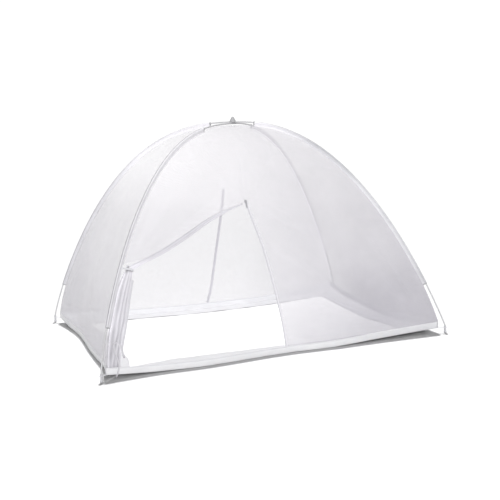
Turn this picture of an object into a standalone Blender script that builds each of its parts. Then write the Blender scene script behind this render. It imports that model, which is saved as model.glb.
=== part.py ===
"""Mosquito net canopy that stands on two crossed poles.

Four net panels make a dome over a base of 2.0 by 1.4 metres. Two rods run from corner to corner
through cloth sleeves and cross over the top. A border of closed cloth stands as a low sill under
the net and lies inwards on the floor. The left half of the front panel is unzipped, gathered along
its upper line and tied to the front left pole, where the rest of it hangs in folds.

+X runs along the front from left to right, the front faces -Y and +Z is up. The origin is on the
floor, under the middle of the base.
"""

import math
from collections import namedtuple

import bmesh
import bpy
from mathutils import Matrix, Vector

# ---- driving dimensions, in metres -------------------------------------------------------------

BASE_LENGTH = 2.00
BASE_WIDTH = 1.40
CROWN_HEIGHT = 1.278
CORNER_TO_FOOT = 0.046
GAP = 0.0003

NET_THICKNESS = 0.002
BORDER_THICKNESS = 0.0015
TAPE_THICKNESS = 0.0012

POLE_RADIUS = 0.00425
FOOT_STRAIGHT = 0.042
CAP_HEIGHT = 0.043
CAP_RADIUS = 0.0065
CAP_BASE_RADIUS = 0.0085
CAP_FLOOR = 0.004
CAP_BORE_RADIUS = 0.0048
STRAP_STAND = 0.0012
STRAP_HALF_WIDTH = 0.0065
STRAP_THICKNESS = 0.002
STRAP_LIFT = 0.004
STRAP_RING_GAP = 0.0007
STRAP_RING_WIDTH = 0.0042

SLEEVE_BORE_RADIUS = 0.0053
SLEEVE_RADIUS = 0.0064
SLEEVE_DEPTH = 0.022
SLEEVE_EDGE = 0.0012
SLEEVE_WAIST_DEPTH = 0.012
SLEEVE_WAIST = 0.0017

SEAM_DROP = 0.018
CORNER_DROP = 0.032
SEAM_SIDE_AT_SLEEVE = 0.0026
SEAM_SIDE_AT_CORNER = 0.0013
SEAM_SIDE_AT_CROWN = 0.0009
CROWN_REACH = 0.007

SILL_HEIGHT = 0.040
HEM_GAP = 0.0007
CORNER_LIFT = 0.026
STRIP_AT_CORNER = 0.155
FLOOR_LIE = BORDER_THICKNESS / 2
SILL_FOOT = 0.0044
SILL_TURN_OUT = 0.0011
SILL_TURN_UP = 0.0018
SILL_TURN_END = 0.004
MITRE_GAP = 0.0008

TIE_HEIGHT = 0.588
SLIDER_HEIGHT = 0.851
SLIT_WIDTH = 0.006

DIAGONAL = math.hypot(BASE_LENGTH / 2, BASE_WIDTH / 2)
FOOT_REACH = DIAGONAL + CORNER_TO_FOOT
HEM_HEIGHT = SILL_HEIGHT + HEM_GAP + CORNER_LIFT
NET_CROWN = CROWN_HEIGHT - SEAM_DROP
CROSSING_LIFT = POLE_RADIUS + GAP / 2

# Rows of cloth, counted up a half arch, that stand at a set height or reach.
ROW_HEM, ROW_MOUTH, ROW_TIE, ROW_SLIDER, ROW_SLEEVE_TOP, ROW_CROWN = 0, 3, 6, 9, 15, 18

# ---- short tables ------------------------------------------------------------------------------

# One row for each half of a pole. The corner it stands on, how full its shoulder is, how fast it
# rises, which pole lies on top, where its sleeve begins and how near the crossing it ends.
HalfArch = namedtuple("HalfArch", "name x_side y_side fullness rise over mouth_height sleeve_reach")
HALF_ARCHES = {
    arch.name: arch
    for arch in (
        HalfArch("front_left", -1, -1, 0.761, 1.568, -1, 0.270, 0.30),
        HalfArch("front_right", 1, -1, 0.874, 1.915, 1, 0.295, 0.13),
        HalfArch("back_right", 1, 1, 0.885, 1.920, -1, 0.270, 0.20),
        HalfArch("back_left", -1, 1, 0.810, 1.768, 1, 0.255, 0.14),
    )
}

# One row for each side of the net: its two half arches, the way it faces, how far its middle hangs
# in, and the columns of cloth on each side of its middle line.
Wall = namedtuple("Wall", "name start end outward sag columns")
WALLS = {
    wall.name: wall
    for wall in (
        Wall("front", "front_left", "front_right", Vector((0, -1, 0)), 0.055, 7),
        Wall("back", "back_left", "back_right", Vector((0, 1, 0)), 0.080, 6),
        Wall("left", "front_left", "back_left", Vector((-1, 0, 0)), 0.030, 5),
        Wall("right", "front_right", "back_right", Vector((1, 0, 0)), 0.045, 5),
    )
}

# The middle line of each side, where the zips of the front and the back run: rows of cloth up from
# the hem and the share of the way across.
Middle = namedtuple("Middle", "row across")
MIDDLE_LINES = {
    "front": (Middle(0, 0.507), Middle(3, 0.508), Middle(6, 0.491), Middle(9, 0.452)),
    "back": (Middle(0, 0.495), Middle(3, 0.526), Middle(6, 0.549), Middle(9, 0.568)),
    "left": (Middle(0, 0.500), Middle(9, 0.500)),
    "right": (Middle(0, 0.500), Middle(9, 0.500)),
}

# The line where each side meets the floor: how far along, how far in from the straight edge, how
# high it is held up, and how deep the strip on the floor is.
Ground = namedtuple("Ground", "along inward lift depth")
GROUND_LINES = {
    "front": (
        Ground(0.00, 0.000, 0.026, 0.155),
        Ground(0.05, 0.000, 0.017, 0.175),
        Ground(0.15, -0.002, 0.004, 0.195),
        Ground(0.28, -0.016, 0.000, 0.200),
        Ground(0.50, 0.008, 0.000, 0.160),
        Ground(0.64, -0.004, 0.000, 0.150),
        Ground(0.84, 0.000, 0.014, 0.150),
        Ground(1.00, 0.000, 0.026, 0.155),
    ),
    "back": (
        Ground(0.00, 0.000, 0.026, 0.155),
        Ground(0.10, 0.010, 0.012, 0.150),
        Ground(0.22, 0.035, 0.000, 0.140),
        Ground(0.36, 0.078, 0.000, 0.130),
        Ground(0.50, 0.094, 0.000, 0.130),
        Ground(0.75, 0.078, 0.000, 0.135),
        Ground(0.90, 0.025, 0.010, 0.145),
        Ground(1.00, 0.000, 0.026, 0.155),
    ),
    "left": (
        Ground(0.00, 0.000, 0.026, 0.155),
        Ground(0.16, 0.030, 0.006, 0.155),
        Ground(0.40, 0.028, 0.000, 0.155),
        Ground(0.68, 0.040, 0.000, 0.150),
        Ground(0.86, 0.020, 0.006, 0.150),
        Ground(1.00, 0.000, 0.026, 0.155),
    ),
    "right": (
        Ground(0.00, 0.000, 0.026, 0.155),
        Ground(0.18, 0.018, 0.008, 0.150),
        Ground(0.34, 0.052, 0.000, 0.145),
        Ground(0.55, 0.040, 0.000, 0.150),
        Ground(0.85, 0.012, 0.006, 0.155),
        Ground(1.00, 0.000, 0.026, 0.155),
    ),
}
SETTLE_HEIGHT = 0.42

# The free upper line of the open door: how far across from the pole, how far up to the slider.
Swag = namedtuple("Swag", "across rise")
SWAG_LINE = (
    Swag(0.00, 0.000),
    Swag(0.15, 0.075),
    Swag(0.27, 0.215),
    Swag(0.44, 0.465),
    Swag(0.61, 0.705),
    Swag(0.79, 0.865),
    Swag(1.00, 1.000),
)

# The main folds of the net: from one point to another on a wall, in metres along it from its middle
# and in height, with the fold's half width and its depth, outwards where it is above 0.
Fold = namedtuple("Fold", "wall along_from up_from along_to up_to half_width depth")
FOLDS = (
    Fold("front", -0.78, 0.60, -0.36, 1.04, 0.075, 0.011),
    Fold("front", -0.66, 0.66, -0.16, 0.97, 0.070, -0.010),
    Fold("front", -0.13, 0.86, -0.10, 1.18, 0.070, 0.009),
    Fold("front", -0.10, 0.82, 0.55, 0.36, 0.090, -0.009),
    Fold("front", 0.34, 0.14, 0.78, 0.32, 0.085, 0.010),
    Fold("back", -0.62, 0.30, -0.10, 0.62, 0.095, 0.012),
    Fold("back", 0.30, 0.16, 0.46, 0.74, 0.090, -0.011),
    Fold("left", -0.34, 0.16, 0.16, 0.66, 0.085, 0.011),
    Fold("left", 0.30, 0.24, -0.06, 0.86, 0.080, -0.010),
    Fold("right", -0.38, 0.18, 0.10, 0.62, 0.085, 0.011),
    Fold("right", 0.34, 0.22, 0.04, 0.80, 0.085, -0.010),
)

# The gathered door leaf below the tie: its height, how far its held edge stands from the seam, how
# wide its folds spread and how deep they are.
Hanging = namedtuple("Hanging", "height off width depth")
LEAF_HANGING = (
    Hanging(0.562, 0.032, 0.034, 0.015),
    Hanging(0.532, 0.026, 0.042, 0.020),
    Hanging(0.490, 0.019, 0.055, 0.028),
    Hanging(0.440, 0.014, 0.064, 0.032),
    Hanging(0.390, 0.012, 0.069, 0.035),
    Hanging(0.330, 0.012, 0.073, 0.036),
    Hanging(0.270, 0.012, 0.076, 0.034),
    Hanging(0.210, 0.013, 0.074, 0.036),
    Hanging(0.150, 0.014, 0.068, 0.034),
    Hanging(0.100, 0.015, 0.067, 0.030),
    Hanging(0.054, 0.016, 0.065, 0.028),
)
LEAF_FOLDS = 4
LEAF_THICKNESS = 0.0014
LEAF_INSET = 0.027
LEAF_END_SHARE = 0.22
LEAF_STAND = 0.0007
LEAF_TURN_HEIGHT = 0.07

# The flat cloth that leads from the side seam to the leaf's first fold: how far its edge stands from
# the seam, where it starts below the tie, and how soon it has its full width.
LEAF_LEAD_SIDE = 0.003
LEAF_LEAD_DEEP = 0.0085
LEAF_LEAD_TOP = 0.545
LEAF_LEAD_GROWS = 0.060
LEAF_LEAD_NONE = 0.12

Lead = namedtuple("Lead", "across deep share")
Station = namedtuple("Station", "held across width depth lead")

# The leaf's upper part, along the swag: how far from the tie to the slider, its width and depth.
Gathered = namedtuple("Gathered", "share width depth")
LEAF_GATHERED = (
    Gathered(0.00, 0.022, 0.018),
    Gathered(0.15, 0.024, 0.018),
    Gathered(0.35, 0.030, 0.022),
    Gathered(0.60, 0.027, 0.018),
    Gathered(0.85, 0.014, 0.010),
    Gathered(1.00, 0.008, 0.006),
)

# The tape on the leaf's free edge: down the edge between these heights, then out over the border in
# a turn, up, over and down to the floor.
LEAF_TAPE_TOP = 0.500
LEAF_TAPE_FOOT = 0.150
TapePoint = namedtuple("TapePoint", "x y z")
LEAF_TAPE_TAIL = (
    TapePoint(-0.9090, -0.6740, 0.1260),
    TapePoint(-0.9080, -0.6820, 0.1100),
    TapePoint(-0.9085, -0.6980, 0.1040),
    TapePoint(-0.9120, -0.7130, 0.1140),
    TapePoint(-0.9210, -0.7220, 0.1440),
    TapePoint(-0.9320, -0.7260, 0.1780),
    TapePoint(-0.9500, -0.7260, 0.1990),
    TapePoint(-0.9660, -0.7260, 0.1880),
    TapePoint(-0.9640, -0.7255, 0.1580),
    TapePoint(-0.9520, -0.7250, 0.1180),
    TapePoint(-0.9430, -0.7240, 0.0780),
    TapePoint(-0.9480, -0.7240, 0.0440),
    TapePoint(-0.9600, -0.7240, 0.0160),
)

# The outlines of the turned pieces, from the axis at the foot to the axis at the top.
Ring = namedtuple("Ring", "radius height")
CAP_OUTLINE = (
    Ring(0, 0),
    Ring(CAP_BASE_RADIUS - 0.0008, 0),
    Ring(CAP_BASE_RADIUS, 0.0010),
    Ring(CAP_BASE_RADIUS, 0.0060),
    Ring(CAP_RADIUS, 0.0110),
    Ring(CAP_RADIUS, CAP_HEIGHT - 0.0006),
    Ring(CAP_RADIUS - 0.0006, CAP_HEIGHT),
    Ring(CAP_BORE_RADIUS + 0.0004, CAP_HEIGHT),
    Ring(CAP_BORE_RADIUS, CAP_HEIGHT - 0.0010),
    Ring(CAP_BORE_RADIUS, CAP_FLOOR),
    Ring(0, CAP_FLOOR),
)
CLIP_OUTLINE = (
    Ring(0, -0.0036),
    Ring(0.0170, -0.0036),
    Ring(0.0195, -0.0010),
    Ring(0.0190, 0.0050),
    Ring(0.0150, 0.0130),
    Ring(0.0105, 0.0210),
    Ring(0.0075, 0.0275),
    Ring(0.0040, 0.0310),
    Ring(0, 0.0322),
)
CLIP_CHANNEL_GAP = 0.0006

ZIP_WIDTH = 0.011
BACK_ZIP_WIDTH = 0.018
LEAF_TAPE_WIDTH = 0.009
LEAF_TAPE_STAND = 0.0007
ZIP_CHAIN_WIDTH = 0.004
ZIP_STAND = 0.0009
ZIP_EDGE_STAND = 0.0006
TIE_WIDTH = 0.010
TIE_SHARE_ACROSS = 0.62
TIE_SHARE_DEEP = 0.80
TIE_SLACK = 0.0036
TIE_STAND = 0.0007
TIE_START = math.radians(62)
TIE_TURN = math.radians(305)
TIE_STEPS = 14
ZIP_CHAIN_RAISE = 0.0011
SLIDER_BODY = Vector((0.014, 0.006, 0.020))
SLIDER_PULL = Vector((0.009, 0.002, 0.036))
SLIDER_STAND = 0.001
SLIDER_EDGE = 0.0012
BACK_SLIDER_ROW = 0.55

# ---- finishes ----------------------------------------------------------------------------------

Finish = namedtuple("Finish", "name colour roughness metallic")
NET = Finish("white net", (0.86, 0.86, 0.88), 0.9, 0.0)
BORDER = Finish("white border cloth", (0.84, 0.84, 0.85), 0.85, 0.0)
SLEEVE = Finish("sleeve cloth", (0.80, 0.80, 0.82), 0.85, 0.0)
POLE = Finish("pale rod", (0.78, 0.78, 0.78), 0.45, 0.0)
CAP = Finish("grey cap", (0.42, 0.42, 0.43), 0.6, 0.0)
CLIP = Finish("dark grey clip", (0.22, 0.22, 0.23), 0.55, 0.0)
TAPE = Finish("zip tape", (0.70, 0.70, 0.72), 0.7, 0.0)
SLIDER = Finish("dark slider", (0.20, 0.20, 0.21), 0.5, 0.0)


def clear_scene():
    """Removes whatever the scene holds."""
    for old in list(bpy.data.objects):
        bpy.data.objects.remove(old, do_unlink=True)


def material_of(finish):
    """Returns the material of a finish, made once."""
    known = bpy.data.materials.get(finish.name)
    if known:
        return known
    material = bpy.data.materials.new(finish.name)
    material.use_nodes = True
    shader = material.node_tree.nodes["Principled BSDF"]
    shader.inputs["Base Color"].default_value = (*finish.colour, 1.0)
    shader.inputs["Roughness"].default_value = finish.roughness
    shader.inputs["Metallic"].default_value = finish.metallic
    return material


def add_object(name, data, finish):
    """Links an object for a mesh or curve and gives it its finish."""
    piece = bpy.data.objects.new(name, data)
    bpy.context.scene.collection.objects.link(piece)
    data.materials.append(material_of(finish))
    return piece


def add_mesh(name, shape, finish, smooth_below=math.radians(40)):
    """Turns a bmesh into an object, with its faces outwards and its round sides smooth."""
    bmesh.ops.recalc_face_normals(shape, faces=shape.faces)
    mesh = bpy.data.meshes.new(name)
    shape.to_mesh(mesh)
    shape.free()
    mesh.shade_smooth()
    mesh.set_sharp_from_angle(angle=smooth_below)
    return add_object(name, mesh, finish)


def smooth_lookup(rows, value):
    """Reads a table at a value of its first column, on a smooth curve through its rows."""
    last = len(rows) - 1
    at = max(i for i in range(last) if i == 0 or rows[i][0] <= value)
    before, low, high, after = (rows[min(max(i, 0), last)] for i in range(at - 1, at + 3))
    span = high[0] - low[0]
    share = min(max((value - low[0]) / span, 0.0), 1.0)
    found = []
    for k in range(1, len(low)):
        slope_low = (high[k] - before[k]) / (high[0] - before[0]) * span
        slope_high = (after[k] - low[k]) / (after[0] - low[0]) * span
        found.append(
            (2 * share**3 - 3 * share**2 + 1) * low[k]
            + (share**3 - 2 * share**2 + share) * slope_low
            + (3 * share**2 - 2 * share**3) * high[k]
            + (share**3 - share**2) * slope_high
        )
    return type(low)(value, *found)


# ---- the arches and the seams ------------------------------------------------------------------


def angle_at_height(arch, height):
    """The angle along a half arch, 0 at its foot and a right angle at the crown, at a height."""
    share = (height - FOOT_STRAIGHT) / (CROWN_HEIGHT - FOOT_STRAIGHT)
    return math.asin(share ** (1 / arch.rise))


def angle_at_reach(arch, reach):
    """The angle along a half arch at a distance from the middle."""
    return math.acos((reach / FOOT_REACH) ** (1 / arch.fullness))


def angle_at_row(arch, row):
    """The angle along a half arch at a row of cloth, which may lie between two rows."""
    marks = (
        (ROW_HEM, angle_at_height(arch, HEM_HEIGHT)),
        (ROW_MOUTH, angle_at_height(arch, arch.mouth_height)),
        (ROW_TIE, angle_at_height(arch, TIE_HEIGHT)),
        (ROW_SLIDER, angle_at_height(arch, SLIDER_HEIGHT)),
        (ROW_SLEEVE_TOP, angle_at_reach(arch, arch.sleeve_reach)),
        (ROW_CROWN, angle_at_reach(arch, CROWN_REACH)),
    )
    for (low_row, low), (high_row, high) in zip(marks, marks[1:]):
        if row <= high_row:
            return low + (high - low) * (row - low_row) / (high_row - low_row)
    return marks[-1][1]


def outward_of(arch):
    """The level direction from the middle to a half arch's foot."""
    return Vector((arch.x_side * BASE_LENGTH / 2, arch.y_side * BASE_WIDTH / 2, 0)) / DIAGONAL


def arch_point(arch, angle):
    """A point on the middle line of a pole."""
    reach = FOOT_REACH * max(math.cos(angle), 0.0) ** arch.fullness
    rise = (CROWN_HEIGHT - FOOT_STRAIGHT) * max(math.sin(angle), 0.0) ** arch.rise
    over = arch.over * CROSSING_LIFT * max(math.sin(angle), 0.0) ** 12
    point = outward_of(arch) * reach
    point.z = FOOT_STRAIGHT + rise + over
    return point


def arch_frame(arch, angle):
    """A pole's middle point, its direction upwards, and the direction away from the dome there."""
    step = 0.002
    low = arch_point(arch, max(angle - step, 0.0))
    high = arch_point(arch, min(angle + step, math.pi / 2))
    along = (high - low).normalized()
    side = Vector((0, 0, 1)).cross(outward_of(arch))
    away = side.cross(along).normalized()
    if away.dot(outward_of(arch)) + away.z < 0:
        away.negate()
    return arch_point(arch, angle), along, away


def side_of(arch, wall):
    """The level direction across a diagonal, towards a wall."""
    across = Vector((0, 0, 1)).cross(outward_of(arch))
    return across if across.dot(wall.outward) > 0 else -across


def seam_point(arch, wall, row):
    """Where a wall's edge meets the seam under a pole, at a row of cloth."""
    centre, _, away = arch_frame(arch, angle_at_row(arch, row))
    if row <= ROW_MOUTH:
        share = 1 - row / ROW_MOUTH
        drop = SEAM_DROP + (CORNER_DROP - SEAM_DROP) * share**1.2
        side = SEAM_SIDE_AT_SLEEVE if row == ROW_MOUTH else SEAM_SIDE_AT_CORNER
        away = away.lerp(outward_of(arch), share).normalized()
    elif row <= ROW_SLEEVE_TOP:
        drop, side = SEAM_DROP, SEAM_SIDE_AT_SLEEVE
    else:
        drop, side = SEAM_DROP, SEAM_SIDE_AT_CROWN
    return centre - away * drop + side_of(arch, wall) * side


# ---- the net -----------------------------------------------------------------------------------


def middle_line(wall, row):
    """How far across a wall its middle line lies at a row: the zip on the front and the back."""
    return smooth_lookup(MIDDLE_LINES[wall.name], min(row, ROW_SLIDER)).across


def fold_depth(wall, point):
    """How far the folds push the net out at a point of a wall."""
    depth = 0.0
    along = point.x if wall.outward.x == 0 else point.y
    here = Vector((along, point.z))
    for fold in FOLDS:
        if fold.wall != wall.name:
            continue
        start = Vector((fold.along_from, fold.up_from))
        run = Vector((fold.along_to, fold.up_to)) - start
        share = min(max((here - start).dot(run) / run.length_squared, 0.0), 1.0)
        away = (here - start - run * share).length / fold.half_width
        depth += fold.depth * math.exp(-away * away)
    return depth


def net_point(wall, row, across):
    """A point on a wall of net, at a row and a share of the way across."""
    start = seam_point(HALF_ARCHES[wall.start], wall, row)
    end = seam_point(HALF_ARCHES[wall.end], wall, row)
    point = start.lerp(end, across)
    slack = 4 * across * (1 - across)
    inward = wall.sag * slack * math.sin(math.pi * min(point.z / NET_CROWN, 1.0))
    inward -= fold_depth(wall, point) * min(slack * 2.5, 1.0)
    settle = max(0.0, 1 - (point.z - HEM_HEIGHT) / SETTLE_HEIGHT) ** 2
    ground = smooth_lookup(GROUND_LINES[wall.name], across)
    inward += ground.inward * settle
    point.z -= (CORNER_LIFT - max(ground.lift, 0.0)) * settle
    return point - wall.outward * inward


def swag_rise(share):
    """How far up the door's free upper line has come at a share of its way to the slider."""
    return smooth_lookup(SWAG_LINE, share).rise


def net_grid(wall, rows, acrosses):
    """Rows of points on a wall; acrosses gives the shares across for a row."""
    return [[net_point(wall, row, across) for across in acrosses(row)] for row in rows]


def left_shares(wall, row, inset=0.0):
    """Shares across a wall from its start to its middle line."""
    middle = middle_line(wall, row) - inset
    return [middle * i / wall.columns for i in range(wall.columns + 1)]


def right_shares(wall, row, inset=0.0):
    """Shares across a wall from its middle line to its end."""
    middle = middle_line(wall, row) + inset
    return [middle + (1 - middle) * i / wall.columns for i in range(wall.columns + 1)]


def all_shares(wall, row):
    """Shares across a whole wall."""
    return left_shares(wall, row)[:-1] + right_shares(wall, row)


def swag_grid(wall):
    """The part of the front between the open door's upper line and the slider's height."""
    grid = []
    for step in range(ROW_SLIDER - ROW_TIE + 1):
        line = []
        for i in range(wall.columns + 1):
            share = i / wall.columns
            row = ROW_SLIDER - (ROW_SLIDER - ROW_TIE - step) * (1 - swag_rise(share))
            line.append(net_point(wall, row, middle_line(wall, row) * share))
        grid.append(line)
    return grid


def slit_inset(row):
    """Half of the slit behind the back zip, as a share of the wall's width there."""
    return 0.0 if row >= ROW_SLIDER else SLIT_WIDTH / 2 / BASE_LENGTH * (1 + row / ROW_SLIDER)


def wall_patches(wall):
    """The grids of points that make up a wall's net."""
    lower = range(ROW_HEM, ROW_SLIDER + 1)
    upper = range(ROW_SLIDER, ROW_CROWN + 1)
    if wall.name == "front":
        return [
            net_grid(wall, lower, lambda row: right_shares(wall, row)),
            swag_grid(wall),
            net_grid(wall, upper, lambda row: all_shares(wall, row)),
        ]
    if wall.name == "back":
        return [
            net_grid(wall, lower, lambda row: left_shares(wall, row, slit_inset(row))),
            net_grid(wall, lower, lambda row: right_shares(wall, row, slit_inset(row))),
            net_grid(wall, upper, lambda row: all_shares(wall, row)),
        ]
    return [net_grid(wall, range(ROW_HEM, ROW_CROWN + 1), lambda row: all_shares(wall, row))]


def add_sheet(name, patches, thickness, finish):
    """Makes a closed sheet of an even thickness about grids of points that share their edges."""
    shape = bmesh.new()
    known = {}

    def vertex(point):
        key = tuple(round(value, 6) for value in point)
        if key not in known:
            known[key] = shape.verts.new(point)
        return known[key]

    for grid in patches:
        for low, high in zip(grid, grid[1:]):
            for i in range(len(low) - 1):
                ring = [vertex(p) for p in (low[i], low[i + 1], high[i + 1], high[i])]
                corners = list(dict.fromkeys(ring))
                if len(corners) > 2:
                    shape.faces.new(corners)
    sheet = add_mesh(name, shape, finish)
    solid = sheet.modifiers.new("thickness", "SOLIDIFY")
    solid.thickness = thickness
    solid.offset = 0.0
    return sheet


def make_net():
    """Makes the four net panels."""
    for wall in WALLS.values():
        add_sheet("net_" + wall.name, wall_patches(wall), NET_THICKNESS, NET)


# ---- the border --------------------------------------------------------------------------------


def inner_corner(arch):
    """The corner of the strip on the floor that lies inside a corner of the base."""
    return Vector(
        (
            arch.x_side * (BASE_LENGTH / 2 - STRIP_AT_CORNER),
            arch.y_side * (BASE_WIDTH / 2 - STRIP_AT_CORNER),
            0,
        )
    )


def border_section(wall, across):
    """A cross-section of the border: down the sill, round its foot and in along the floor."""
    ground = smooth_lookup(GROUND_LINES[wall.name], across)
    lift = max(ground.lift, 0.0)
    foot = net_point(wall, ROW_HEM, across)
    foot.z = lift
    inward = -wall.outward
    start, end = (inner_corner(HALF_ARCHES[key]) for key in (wall.start, wall.end))
    start += (end - start).normalized() * MITRE_GAP
    end -= (end - start).normalized() * MITRE_GAP
    edge = start.lerp(end, across) + inward * (ground.inward + ground.depth - STRIP_AT_CORNER)
    edge.z = FLOOR_LIE
    mitred = Vector((edge.x - foot.x, edge.y - foot.y, 0))
    mitred /= mitred.dot(inward)
    fold = foot + mitred * SILL_TURN_END
    fold.z = lift + FLOOR_LIE
    half_way = fold.lerp(edge, 0.5)
    half_way.z = FLOOR_LIE + lift * 0.35
    return [
        foot + Vector((0, 0, SILL_HEIGHT)),
        foot + Vector((0, 0, SILL_HEIGHT / 2)),
        foot + Vector((0, 0, SILL_FOOT)),
        foot + mitred * SILL_TURN_OUT + Vector((0, 0, SILL_TURN_UP)),
        fold,
        half_way,
        edge,
    ]


def make_border():
    """Makes the four sides of the border, mitred at the corners."""
    for wall in WALLS.values():
        shares = all_shares(wall, ROW_HEM)
        columns = [border_section(wall, across) for across in shares]
        add_sheet("border_" + wall.name, [columns], BORDER_THICKNESS, BORDER)


# ---- poles, caps, straps and sleeves -------------------------------------------------------------


def pole_angles(arch):
    """The angles of a half arch at which its pole has a point."""
    rows = [angle_at_row(arch, row) for row in range(ROW_HEM, ROW_CROWN + 1)]
    return [0.0, angle_at_height(arch, CAP_HEIGHT + 0.002)] + rows


def make_pole(name, start, end):
    """Makes a pole through two half arches that face each other."""
    foot_start = outward_of(start) * FOOT_REACH + Vector((0, 0, CAP_FLOOR + GAP))
    foot_end = outward_of(end) * FOOT_REACH + Vector((0, 0, CAP_FLOOR + GAP))
    points = [foot_start]
    points += [arch_point(start, angle) for angle in pole_angles(start)]
    points += [arch_point(end, angle) for angle in reversed(pole_angles(end))]
    points.append(foot_end)
    curve = bpy.data.curves.new(name, "CURVE")
    curve.dimensions = "3D"
    curve.bevel_depth = POLE_RADIUS
    curve.bevel_resolution = 2
    curve.use_fill_caps = True
    spline = curve.splines.new("POLY")
    spline.points.add(len(points) - 1)
    for knot, point in zip(spline.points, points):
        knot.co = (*point, 1.0)
    return add_object(name, curve, POLE)


def turned(profile, sides=16):
    """A closed turned shape from a profile of radius and height that starts and ends on the axis."""
    shape = bmesh.new()
    turns = [2 * math.pi * i / sides for i in range(sides)]
    rings = []
    for radius, height in profile:
        if radius == 0:
            rings.append([shape.verts.new((0, 0, height))])
        else:
            rings.append(
                [shape.verts.new((radius * math.cos(a), radius * math.sin(a), height)) for a in turns]
            )
    for low, high in zip(rings, rings[1:]):
        for i in range(sides):
            j = (i + 1) % sides
            ring = [low[i % len(low)], low[j % len(low)], high[j % len(high)], high[i % len(high)]]
            shape.faces.new(list(dict.fromkeys(ring)))
    return shape


def make_foot_cap(arch):
    """Makes the cap on a pole's end: a small cup with a flat foot."""
    cap = add_mesh("foot_cap_" + arch.name, turned(CAP_OUTLINE), CAP)
    cap.location = outward_of(arch) * FOOT_REACH
    return cap


def make_corner_strap(arch):
    """Makes the tab from the border's corner to the pole's end, with its ring round the cap."""
    ring_inner = CAP_RADIUS + STRAP_RING_GAP
    ring_outer = ring_inner + STRAP_RING_WIDTH
    height = CORNER_LIFT + STRAP_LIFT
    centre, _, _ = arch_frame(arch, angle_at_row(arch, ROW_HEM))
    corner_reach = centre.length_squared - centre.z**2
    start = math.sqrt(corner_reach) - CORNER_DROP + STRAP_STAND - FOOT_REACH
    outer_sides = 20
    join = math.asin(STRAP_HALF_WIDTH / ring_outer)
    outline = [Vector((start, STRAP_HALF_WIDTH)), Vector((start, -STRAP_HALF_WIDTH))]
    for i in range(outer_sides + 1):
        turn = -math.pi + join + (2 * math.pi - 2 * join) * i / outer_sides
        outline.append(Vector((math.cos(turn), math.sin(turn))) * ring_outer)
    shape = bmesh.new()
    face = shape.faces.new([shape.verts.new((p.x, p.y, 0)) for p in outline])
    grown = bmesh.ops.extrude_face_region(shape, geom=[face])
    lifted = [v for v in grown["geom"] if isinstance(v, bmesh.types.BMVert)]
    bmesh.ops.translate(shape, verts=lifted, vec=(0, 0, STRAP_THICKNESS))
    strap = add_mesh("strap_" + arch.name, shape, BORDER)
    place = Matrix.Translation(outward_of(arch) * FOOT_REACH + Vector((0, 0, height)))
    turn = Matrix.Rotation(math.atan2(outward_of(arch).y, outward_of(arch).x), 4, "Z")
    strap.matrix_world = place @ turn
    shape = bmesh.new()
    bmesh.ops.create_cone(
        shape, cap_ends=True, segments=20, radius1=ring_inner, radius2=ring_inner, depth=0.02
    )
    cut_hole(strap, "eyelet_cut_" + arch.name, shape, place)
    return strap


def cut_hole(piece, name, shape, place):
    """Cuts a shape out of a piece."""
    cutter = add_mesh(name, shape, CAP)
    cutter.matrix_world = place
    cutter.hide_render = True
    cutter.display_type = "WIRE"
    hole = piece.modifiers.new(name, "BOOLEAN")
    hole.operation = "DIFFERENCE"
    hole.solver = "EXACT"
    hole.object = cutter


def sleeve_loops(arch, row):
    """The outer and inner loops of a sleeve's cross-section, with the same number of points."""
    centre, _, away = arch_frame(arch, angle_at_row(arch, row))
    side = Vector((0, 0, 1)).cross(outward_of(arch))

    def at(out, over):
        return centre + away * out + side * over

    turns = [math.radians(angle) for angle in (-112, -68, -23, 23, 68, 112)]
    outer = [at(math.cos(t) * SLEEVE_RADIUS, math.sin(t) * SLEEVE_RADIUS) for t in turns]
    outer += [
        at(-SLEEVE_WAIST_DEPTH, SLEEVE_WAIST),
        at(-SLEEVE_DEPTH, SLEEVE_EDGE),
        at(-SLEEVE_DEPTH, -SLEEVE_EDGE),
        at(-SLEEVE_WAIST_DEPTH, -SLEEVE_WAIST),
    ]
    turns += [math.radians(angle) for angle in (146, 172, 188, 214)]
    inner = [at(math.cos(t) * SLEEVE_BORE_RADIUS, math.sin(t) * SLEEVE_BORE_RADIUS) for t in turns]
    return outer, inner


def make_sleeve(arch):
    """Makes a cloth sleeve: a tube round the pole with a flat sewn edge towards the net."""
    shape = bmesh.new()
    outers, inners = [], []
    for row in range(ROW_MOUTH, ROW_SLEEVE_TOP + 1):
        outer, inner = sleeve_loops(arch, row)
        outers.append([shape.verts.new(point) for point in outer])
        inners.append([shape.verts.new(point) for point in inner])
    count = len(outers[0])
    for rings in (outers, inners):
        for low, high in zip(rings, rings[1:]):
            for i in range(count):
                j = (i + 1) % count
                shape.faces.new((low[i], low[j], high[j], high[i]))
    for end in (0, -1):
        for i in range(count):
            j = (i + 1) % count
            shape.faces.new((outers[end][i], outers[end][j], inners[end][j], inners[end][i]))
    return add_mesh("sleeve_" + arch.name, shape, SLEEVE)


def make_crown_clip():
    """Makes the small knob that sits on the crossing, with a channel for the upper pole."""
    centre = Vector((0, 0, CROWN_HEIGHT + CROSSING_LIFT))
    clip = add_mesh("crown_clip", turned(CLIP_OUTLINE, 20), CLIP)
    clip.location = centre
    shape = bmesh.new()
    radius = POLE_RADIUS + CLIP_CHANNEL_GAP
    bmesh.ops.create_cone(
        shape, cap_ends=True, segments=16, radius1=radius, radius2=radius, depth=0.08
    )
    along = outward_of(HALF_ARCHES["front_right"])
    turn = along.to_track_quat("Z", "X").to_matrix().to_4x4()
    cut_hole(clip, "clip_channel", shape, Matrix.Translation(centre) @ turn)
    return clip


# ---- the open door ---------------------------------------------------------------------------------


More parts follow.
